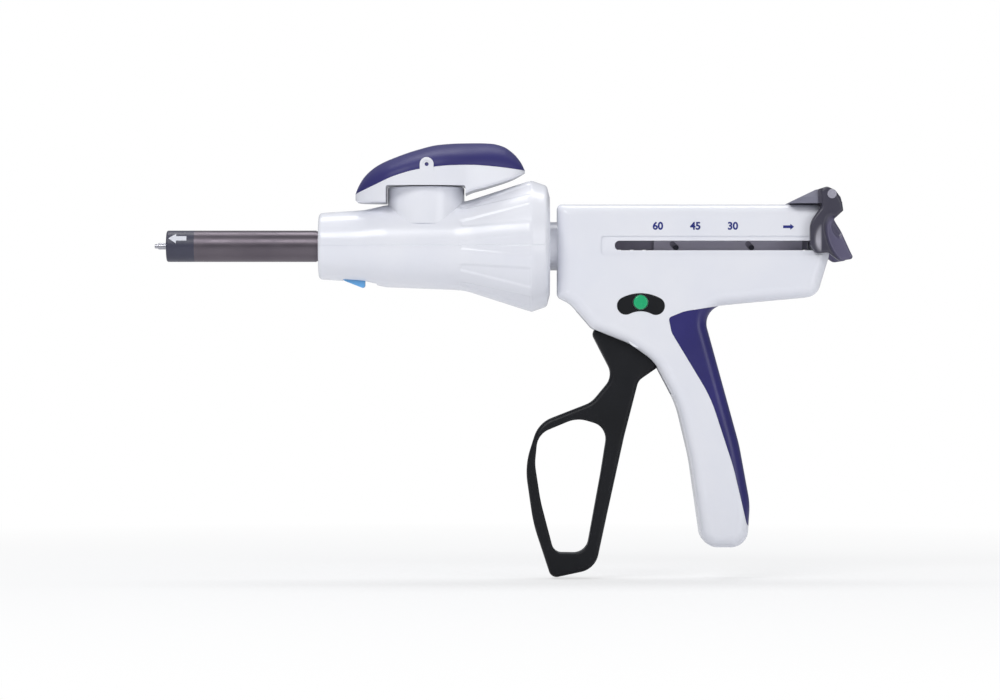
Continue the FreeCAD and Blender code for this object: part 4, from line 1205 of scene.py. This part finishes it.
@dataclass
class Collar:
    """The rotation collar's two halves with shallow grip panels, in millimetres.

    Attributes:
        profile: The wall's outline as distance along the shaft, distance from it and corner radius.
        step: Longest piece of the profile.
        turns: Divisions of half a turn.
        line_width: Width of the parting line on each half, in radians.
        line_depth: Its depth.
        nose: How far from the mouth the line runs across the front face.
        skin: Distance from the axis beyond which the profile lies outside.
        panels: Panels round the flare.
        panel_span: Where the panels start and end.
        panel_half: Half their width at both ends.
        panel_wall: Radius at both ends beyond which the wall lies outside.
        panel_depth: Their depth.
        turret: Place, radius and top of the turret.
        wall: Thickness of the turret's wall.
        bore: Radius of the hole for the lever's axle.
        button_slot: Front end, rear end and half width of the slot for the blue button.
    """

    profile: tuple[Point, ...] = (
        (61.6, 6.25, 0.0), (61.6, 13.4, 1.6), (80.0, 14.6, 20.0), (88.7, 16.6, 14.0), (120.0, 17.8, 30.0),
        (147.0, 26.8, 4.0), (153.8, 24.5, 2.0), (155.0, 19.9, 0.8), (155.0, 9.85, 0.0), (152.6, 9.85, 0.0),
        (152.6, 15.3, 0.0), (89.7, 14.3, 6.0), (80.0, 12.3, 10.0), (63.9, 11.1, 1.0), (63.9, 6.25, 0.0),
    )
    step: float = 0.55
    turns: int = 170
    line_width: float = 0.009
    line_depth: float = 0.14
    nose: float = 61.7
    skin: float = 13.0
    panels: int = 12
    panel_span: Flat = (118.5, 147.6)
    panel_half: Flat = (1.8, 5.0)
    panel_wall: Flat = (16.6, 25.4)
    panel_depth: float = 0.42
    turret: Point = (105.0, 15.5, 23.8)
    wall: float = 2.3
    bore: float = 2.25
    button_slot: Point = (71.4, 85.1, 4.3)

    def build(self, kit: ShaderKit) -> None:
        """Build both halves in place of the CAD's.

        Args:
            kit: The shared node groups.
        """
        tree = self._panel_tree(WHITE.material(kit))
        upper = self._half("collar_shell_upper", 0.0, tree)
        x, radius, top = self.turret
        for reach, low, high, edge, operation in (
            (radius, 9.0, top, 1.0, "UNION"),
            (radius - self.wall, 6.6, top - self.wall, 0.4, "DIFFERENCE"),
            (self.bore, 5.0, top + 2.0, 0.0, "DIFFERENCE"),
        ):
            upper = carve(upper, self._post(x, reach, low, high, edge), operation)
        lower = self._half("collar_shell_lower", math.pi, tree)
        front, rear, half = self.button_slot
        view = [(front, -1.0), (rear, -1.0), (rear, -20.0), (front, -20.0)]
        lower = carve(lower, prism("button_slot", view, -half, half), "DIFFERENCE")
        for piece, node in ((upper, "collar_upper"), (lower, "collar_lower")):
            tidy_mesh(piece.data, 33.0)
            settle(piece, "rotator", WHITE, kit)
            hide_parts(node)

    def _half(self, name: str, start: float, tree: Tree) -> bpy.types.Object:
        """Sweep the wall half way round and press the panels into it.

        Args:
            name: Name of the piece.
            start: Angle at which the sweep starts, 0 for the upper half.
            tree: The geometry node tree that presses the panels.

        Returns:
            The closed half.
        """
        outline = rounded(self.profile, self.step)
        lean = self.line_width
        angles = [start, start + lean, *(start + math.pi * i / self.turns for i in range(1, self.turns))]
        angles += [start + math.pi - lean, start + math.pi]
        corners: list[Point] = []
        for number, angle in enumerate(angles):
            groove = self.line_depth if number in (0, len(angles) - 1) else 0.0
            for x, distance in outline:
                reach = distance - groove if distance > self.skin or x < self.nose else distance
                corners.append((x, reach * math.cos(angle), reach * math.sin(angle)))
        half = object_from(name, mesh_from(name, corners, ring_faces(len(angles), len(outline))))
        return object_from(name, grow(half, tree, {
            "Count": float(self.panels), "Start": self.panel_span[0] * MM, "End": self.panel_span[1] * MM,
            "Half At Start": self.panel_half[0] * MM, "Half At End": self.panel_half[1] * MM,
            "Wall At Start": self.panel_wall[0] * MM, "Wall At End": self.panel_wall[1] * MM,
            "Depth": self.panel_depth * MM,
        }))

    @staticmethod
    def _post(x: float, radius: float, low: float, high: float, edge: float) -> bpy.types.Mesh:
        """Make an upright round post.

        Args:
            x: Place of its axis along the shaft.
            radius: Its radius.
            low: Height of its foot.
            high: Height of its top.
            edge: Radius of its rounded top edge.

        Returns:
            The closed post.
        """
        levels = [(radius, low)]
        for i in range(7 if edge else 1):
            angle = math.pi * i / 12.0
            levels.append((radius - edge * (1.0 - math.cos(angle)), high - edge * (1.0 - math.sin(angle))))
        around = 96
        corners = [(a, b, z) for reach, z in levels for a, b in arc((x, 0.0), reach, around)]
        return mesh_from("post", corners, ring_faces(len(levels), around))

    @staticmethod
    def _panel_tree(material: bpy.types.Material) -> Tree:
        """Build the geometry nodes that press evenly spaced panels into a turned wall.

        Args:
            material: The material of the result.

        Returns:
            The tree, with the panels' number, place, width and depth as inputs.
        """
        numbers = (
            "Count", "Start", "End", "Half At Start", "Half At End", "Wall At Start", "Wall At End", "Depth",
        )
        shape = {"Geometry": "NodeSocketGeometry"}
        tree = new_group("grip_panels", "GeometryNodeTree", {**shape, **dict.fromkeys(numbers, 0.0)}, shape)
        given = tree.nodes["In"].outputs

        def calc(operation: str, *values: Socket | float) -> Socket:
            """Add one math node and return its result."""
            return add(tree, "ShaderNodeMath", dict(enumerate(values)), operation=operation).outputs["Value"]

        def between(share: Socket, name: str) -> Socket:
            """Give the value between a pair of inputs at a share of the way."""
            start, end = given[f"{name} At Start"], given[f"{name} At End"]
            return calc("ADD", start, calc("MULTIPLY", calc("SUBTRACT", end, start), share))

        def ramp(value: Socket, soft: float) -> Socket:
            """Rise smoothly from 0 to 1 while a distance grows from 0."""
            feeds = {"Value": value, "From Max": soft}
            return add(tree, "ShaderNodeMapRange", feeds, interpolation_type="SMOOTHSTEP").outputs["Result"]

        position = add(tree, "GeometryNodeInputPosition").outputs["Position"]
        split = add(tree, "ShaderNodeSeparateXYZ", {"Vector": position}).outputs
        x, y, z = split["X"], split["Y"], split["Z"]
        distance = calc("SQRT", calc("ADD", calc("MULTIPLY", y, y), calc("MULTIPLY", z, z)))
        phase = calc("MULTIPLY", calc("DIVIDE", calc("ARCTAN2", z, y), math.tau), given["Count"])
        from_middle = calc("ABSOLUTE", calc("SUBTRACT", calc("FRACT", calc("ADD", phase, 0.5)), 0.5))
        pitch = calc("DIVIDE", calc("MULTIPLY", distance, math.tau), given["Count"])
        aside = calc("MULTIPLY", from_middle, pitch)
        beyond = calc("SUBTRACT", x, given["Start"])
        share = calc("DIVIDE", beyond, calc("SUBTRACT", given["End"], given["Start"]))
        across = ramp(calc("SUBTRACT", between(share, "Half"), aside), 0.0012)
        along = calc("MULTIPLY", ramp(beyond, 0.0008), ramp(calc("SUBTRACT", given["End"], x), 0.0009))
        outside = ramp(calc("SUBTRACT", distance, between(share, "Wall")), 0.0001)
        window = calc("MULTIPLY", calc("MULTIPLY", across, along), outside)
        press = calc("MULTIPLY", window, given["Depth"])
        shrink = calc("DIVIDE", calc("SUBTRACT", distance, press), distance)
        moved = add(tree, "ShaderNodeCombineXYZ", {
            "X": x, "Y": calc("MULTIPLY", y, shrink), "Z": calc("MULTIPLY", z, shrink),
        })
        feeds = {"Geometry": given["Geometry"], "Position": moved.outputs["Vector"]}
        place = add(tree, "GeometryNodeSetPosition", feeds)
        close_tree(tree, place.outputs["Geometry"], material)
        return tree


@dataclass
class UnloadSpring:
    """The unload button's compression spring, in millimetres.

    Attributes:
        start: Where its free end is at rest.
        end: Where it stands on the collar's inner wall.
        height: Height of its axis.
        radius: Radius of the coil to the middle of the wire.
        wire: Radius of the wire.
        turns: Number of turns.
        travel: How far the button shortens it; not used.
    """

    start: float = 86.35
    end: float = 115.95
    height: float = -8.6
    radius: float = 1.45
    wire: float = 0.3
    turns: float = 11.0
    travel: float = 4.5

    def build(self, kit: ShaderKit) -> None:
        """Build the spring in place of the CAD's.

        Args:
            kit: The shared node groups.
        """
        holder = object_from("unload_coil", bpy.data.meshes.new("unload_coil"))
        coil = grow(holder, self._coil_tree(STEEL.material(kit)), {
            "Start": (self.start + self.wire) * MM, "Height": self.height * MM, "Radius": self.radius * MM,
            "Length": (self.end - self.start - 2.0 * self.wire) * MM, "Wire": self.wire * MM,
            "Turns": self.turns,
        })
        tidy_mesh(coil, 50.0)
        spring = object_from("unload_coil", coil)
        settle(spring, "rotator", STEEL, kit)
        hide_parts("unload_spring")
        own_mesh(spring)

    @staticmethod
    def _coil_tree(material: bpy.types.Material) -> Tree:
        """Build the geometry nodes that sweep a round wire along a helix.

        Args:
            material: The material of the wire.

        Returns:
            The tree, with the coil's place and sizes as inputs.
        """
        numbers = ("Start", "Height", "Radius", "Length", "Wire", "Turns")
        tree = new_group(
            "coil_spring", "GeometryNodeTree", dict.fromkeys(numbers, 0.0), {"Geometry": "NodeSocketGeometry"}
        )
        given = tree.nodes["In"].outputs
        helix = add(tree, "GeometryNodeCurveSpiral", {
            "Resolution": 28, "Rotations": given["Turns"], "Start Radius": given["Radius"],
            "End Radius": given["Radius"], "Height": given["Length"],
        })
        section = add(tree, "GeometryNodeCurvePrimitiveCircle", {"Resolution": 10, "Radius": given["Wire"]})
        sweep = add(tree, "GeometryNodeCurveToMesh", {
            "Curve": helix.outputs["Curve"], "Profile Curve": section.outputs["Curve"], "Fill Caps": True,
        })
        place = add(tree, "ShaderNodeCombineXYZ", {"X": given["Start"], "Z": given["Height"]})
        move = add(tree, "GeometryNodeTransform", {
            "Geometry": sweep.outputs["Mesh"], "Translation": place.outputs["Vector"],
            "Rotation": (0.0, math.pi / 2.0, 0.0),
        })
        close_tree(tree, move.outputs["Geometry"], material)
        return tree


@dataclass
class Studio:
    """Camera, lights, world and floor.

    Attributes:
        aim: The point that the middle of the picture shows.
        width: What the picture's width shows at the instrument, in metres.
        lens: Focal length in millimetres.
        floor: Height of the floor.
    """

    aim: Point = (0.1349, 0.0, -0.0420)
    width: float = 0.405
    lens: float = 150.0
    floor: float = -0.1345

    def build(self) -> None:
        """Build the whole studio."""
        self._camera()
        self._world()
        self._lights()
        self._ground()
        bpy.context.scene.view_settings.view_transform = "Standard"

    def _camera(self) -> None:
        """Put the camera square to the instrument's left side."""
        data = bpy.data.cameras.new("camera")
        data.lens = self.lens
        camera = bpy.data.objects.new("camera", data)
        away = self.width * self.lens / data.sensor_width
        camera.location = Vector(self.aim) + Vector((0.0, -away, 0.0))
        camera.rotation_euler = (math.radians(90.0), 0.0, 0.0)
        bpy.context.scene.collection.objects.link(camera)
        bpy.context.scene.camera = camera

    @staticmethod
    def _world() -> None:
        """Make a white surround that lights the instrument softly."""
        world = bpy.data.worlds.new("surround")
        world.use_nodes = True
        bpy.context.scene.world = world
        tree = world.node_tree
        tree.nodes.clear()
        rays = add(tree, "ShaderNodeLightPath").outputs
        seen, mirrored, fill = (
            add(tree, "ShaderNodeBackground", {"Color": color, "Strength": strength}).outputs["Background"]
            for color, strength in (
                ((1.0, 1.0, 1.0, 1.0), 1.0), ((0.9, 0.93, 1.0, 1.0), 0.34), ((0.95, 0.965, 1.0, 1.0), 0.36),
            )
        )
        unseen = add(tree, "ShaderNodeMixShader", {"Fac": rays["Is Glossy Ray"], 1: fill, 2: mirrored})
        direct = {0: rays["Is Camera Ray"], 1: rays["Is Transmission Ray"]}
        either = add(tree, "ShaderNodeMath", direct, operation="MAXIMUM").outputs["Value"]
        whole = add(tree, "ShaderNodeMixShader", {"Fac": either, 1: unseen.outputs["Shader"], 2: seen})
        add(tree, "ShaderNodeOutputWorld", {"Surface": whole.outputs["Shader"]})

    def _lights(self) -> None:
        """Hang two soft boxes in front and one above."""
        self._softbox("key", (-0.25, -0.75, 0.62), (0.55, 0.3), 4.2)
        self._softbox("fill", (0.75, -0.7, 0.15), (0.35, 0.7), 1.6)
        self._softbox("top", (0.12, 0.25, 0.85), (0.9, 0.3), 4.0)

    def _softbox(self, name: str, place: Point, size: tuple[float, float], power: float) -> None:
        """Hang one rectangular light that faces the instrument.

        Args:
            name: Name of the light.
            place: Where its middle is.
            size: Its width and height in metres.
            power: Its power in watts.
        """
        data = bpy.data.lights.new(name, "AREA")
        data.shape = "RECTANGLE"
        data.size, data.size_y = size
        data.energy = power
        lamp = bpy.data.objects.new(name, data)
        lamp.location = place
        lamp.rotation_euler = (Vector(self.aim) - Vector(place)).to_track_quat("-Z", "Y").to_euler()
        bpy.context.scene.collection.objects.link(lamp)

    def _ground(self) -> None:
        """Lay a pale floor that fades into the white surround."""
        span = ((-3.0, -3.0), (3.0, -3.0), (3.0, 3.0), (-3.0, 3.0))
        mesh = bpy.data.meshes.new("floor")
        mesh.from_pydata([(x, y, self.floor) for x, y in span], [], [(0, 1, 2, 3)])
        floor = object_from("floor", mesh)
        material = bpy.data.materials.new("pale_floor")
        material.use_nodes = True
        tree = material.node_tree
        shader = tree.nodes["Principled BSDF"]
        feed(shader, {"Base Color": (0.93, 0.935, 0.95, 1.0), "Roughness": 0.7, "Specular IOR Level": 0.1})
        glow = add(tree, "ShaderNodeEmission").outputs["Emission"]
        place = add(tree, "ShaderNodeTexCoord").outputs["Object"]
        ends = {0: place, 1: (self.aim[0], 0.0, self.floor)}
        distance = add(tree, "ShaderNodeVectorMath", ends, operation="DISTANCE").outputs["Value"]
        fade = add(tree, "ShaderNodeMapRange", {
            "Value": distance, "From Min": 0.1, "From Max": 0.55, "To Min": 0.62,
        })
        seen = add(tree, "ShaderNodeLightPath").outputs["Is Camera Ray"]
        share = add(tree, "ShaderNodeMath", {0: fade.outputs["Result"], 1: seen}, operation="MULTIPLY")
        parts = {"Fac": share.outputs["Value"], 1: shader.outputs["BSDF"], 2: glow}
        mixed = add(tree, "ShaderNodeMixShader", parts)
        feed(tree.nodes["Material Output"], {"Surface": mixed.outputs["Shader"]})
        floor.data.materials.append(material)


@dataclass
class PrintedMarks:
    """The scale and arrow printed on both sides of the barrel, and the loading ring's arrows, in metres.

    Attributes:
        wall: Distance of the printed wall from the middle plane.
        film: Thickness of the ink.
        height: Height of the digits' line box.
        bold: How much thicker than the font's the strokes are.
        digits: Each number with the place of its middle along the barrel.
        line: Height of the digits' middle above the shaft's axis.
        arrow: Middle of the barrel's arrow and its height.
        arrow_view: The arrow's upper half, from its tail to its tip.
        ring: Radius of the loading ring.
        ring_turn: How far above the side the middle of the ring's arrow lies, in degrees.
        ring_view: The ring arrow's upper half, from its tail to its tip.
        ring_cut: Spacing of the cuts that let it follow the ring.
    """

    wall: float = 0.0140
    film: float = 0.00003
    height: float = 0.0042
    bold: float = 0.00014
    digits: tuple[tuple[str, float], ...] = (("60", 0.1983), ("45", 0.2134), ("30", 0.2284))
    line: float = 0.0077
    arrow: Flat = (0.2508, 0.0075)
    arrow_view: tuple[Flat, ...] = ((-0.0022, 0.00055), (0.0007, 0.00055), (0.0007, 0.0012), (0.0022, 0.0))
    ring: float = 0.00635
    ring_turn: float = 29.0
    ring_view: tuple[Flat, ...] = ((0.0083, 0.0010), (0.0041, 0.0010), (0.0041, 0.0022), (0.0010, 0.0))
    ring_cut: float = 0.0004

    def build(self, kit: ShaderKit) -> None:
        """Print both sides.

        Args:
            kit: The shared node groups.
        """
        for side in Side:
            for number, x in self.digits:
                mesh = self._number(number)
                self._onto_wall(mesh, (x, self.line), side)
                settle(object_from(f"mark_{number}_{side.label}", mesh), "housing", INK, kit)
            mesh = self._arrow(side)
            settle(object_from(f"mark_arrow_{side.label}", mesh), "housing", INK, kit)
            mesh = self._ring_arrow(side)
            settle(object_from(f"ring_arrow_{side.label}", mesh), "rotator", PALE_INK, kit)

    @staticmethod
    def _raised(half: tuple[Flat, ...], thickness: float, cuts: list[float]) -> bmesh.types.BMesh:
        """Make a flat arrow with some thickness.

        Args:
            half: Its upper half, from its tail to its tip, which lies on the axis.
            thickness: Its thickness.
            cuts: Where it is divided across its width.

        Returns:
            The arrow, lying in the XY plane.
        """
        work = bmesh.new()
        mirrored = [(x, -y) for x, y in reversed(half[:-1])]
        work.faces.new([work.verts.new((x, y, 0.0)) for x, y in (*half, *mirrored)])
        for cut in cuts:
            bmesh.ops.bisect_plane(
                work, geom=work.verts[:] + work.edges[:] + work.faces[:], plane_co=(0.0, cut, 0.0),
                plane_no=(0.0, 1.0, 0.0),
            )
        raised = bmesh.ops.extrude_face_region(work, geom=work.faces[:])
        for corner in [v for v in raised["geom"] if isinstance(v, bmesh.types.BMVert)]:
            corner.co.z += thickness
        return work

    @staticmethod
    def _closed(work: bmesh.types.BMesh) -> bpy.types.Mesh:
        """Turn a shape in the making into a plain mesh with its faces outwards.

        Args:
            work: The shape, which is used up.

        Returns:
            The mesh.
        """
        bmesh.ops.recalc_face_normals(work, faces=work.faces[:])
        mesh = bpy.data.meshes.new("arrow")
        work.to_mesh(mesh)
        work.free()
        return mesh

    def _ring_arrow(self, side: Side) -> bpy.types.Mesh:
        """Make the pale arrow round the loading ring, which points to the mouth.

        Args:
            side: The side that it is printed on.

        Returns:
            The arrow, bent round the ring.
        """
        cuts = [cut * self.ring_cut for cut in range(-5, 6)]
        work = self._raised(self.ring_view, 2.0 * self.film, cuts)
        for corner in work.verts:
            angle = math.radians(self.ring_turn) + corner.co.y / self.ring
            reach = self.ring + corner.co.z
            corner.co = (corner.co.x, side.value * reach * math.cos(angle), reach * math.sin(angle))
        return self._closed(work)

    def _onto_wall(self, mesh: bpy.types.Mesh, place: Flat, side: Side) -> None:
        """Turn a flat mesh upright and lay it on one side wall.

        Args:
            mesh: A mesh that lies in the XY plane, centred on the origin.
            place: Its middle along the barrel and its height.
            side: The side that it is printed on.
        """
        turn = Matrix.Rotation(math.radians(90.0), 4, "X")
        if side is Side.RIGHT:
            turn = Matrix.Rotation(math.pi, 4, "Z") @ turn
        mesh.transform(turn)
        mesh.transform(Matrix.Translation((place[0], side.value * (self.wall + self.film), place[1])))

    def _number(self, text: str) -> bpy.types.Mesh:
        """Make one number.

        Args:
            text: The digits.

        Returns:
            The number, lying in the XY plane.
        """
        curve = bpy.data.curves.new(text, "FONT")
        curve.body = text
        curve.size = self.height
        curve.align_x = "CENTER"
        curve.align_y = "CENTER"
        curve.extrude = self.film
        curve.offset = self.bold
        curve.resolution_u = 6
        written = bpy.data.objects.new(text, curve)
        bpy.context.scene.collection.objects.link(written)
        return evaluated_mesh(written)

    def _arrow(self, side: Side) -> bpy.types.Mesh:
        """Make the arrow that shows which way the knobs are pulled.

        Args:
            side: The side that it is printed on.

        Returns:
            The arrow on the barrel's wall.
        """
        way = -side.value
        half = tuple((way * x, y) for x, y in self.arrow_view)
        mesh = self._closed(self._raised(half, self.film, []))
        self._onto_wall(mesh, self.arrow, side)
        return mesh


def dress_frame(kit: ShaderKit) -> None:
    """Give every CAD node its material.

    Args:
        kit: The shared node groups.
    """
    for name, finish in NODE_FINISH.items():
        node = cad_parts[name]
        node.data.materials.clear()
        node.data.materials.append(finish.material(kit))


def main() -> None:
    """Build the studio, dress the frame and add the shaped pieces."""
    logging.basicConfig(level=logging.INFO, format="%(name)s: %(message)s")
    kit = ShaderKit()
    Studio().build()
    dress_frame(kit)
    PrintedMarks().build(kit)
    Lever().build(kit)
    ReturnKnobs().build(kit)
    Collar().build(kit)
    UnloadSpring().build(kit)


if __name__ == "__main__":
    main()
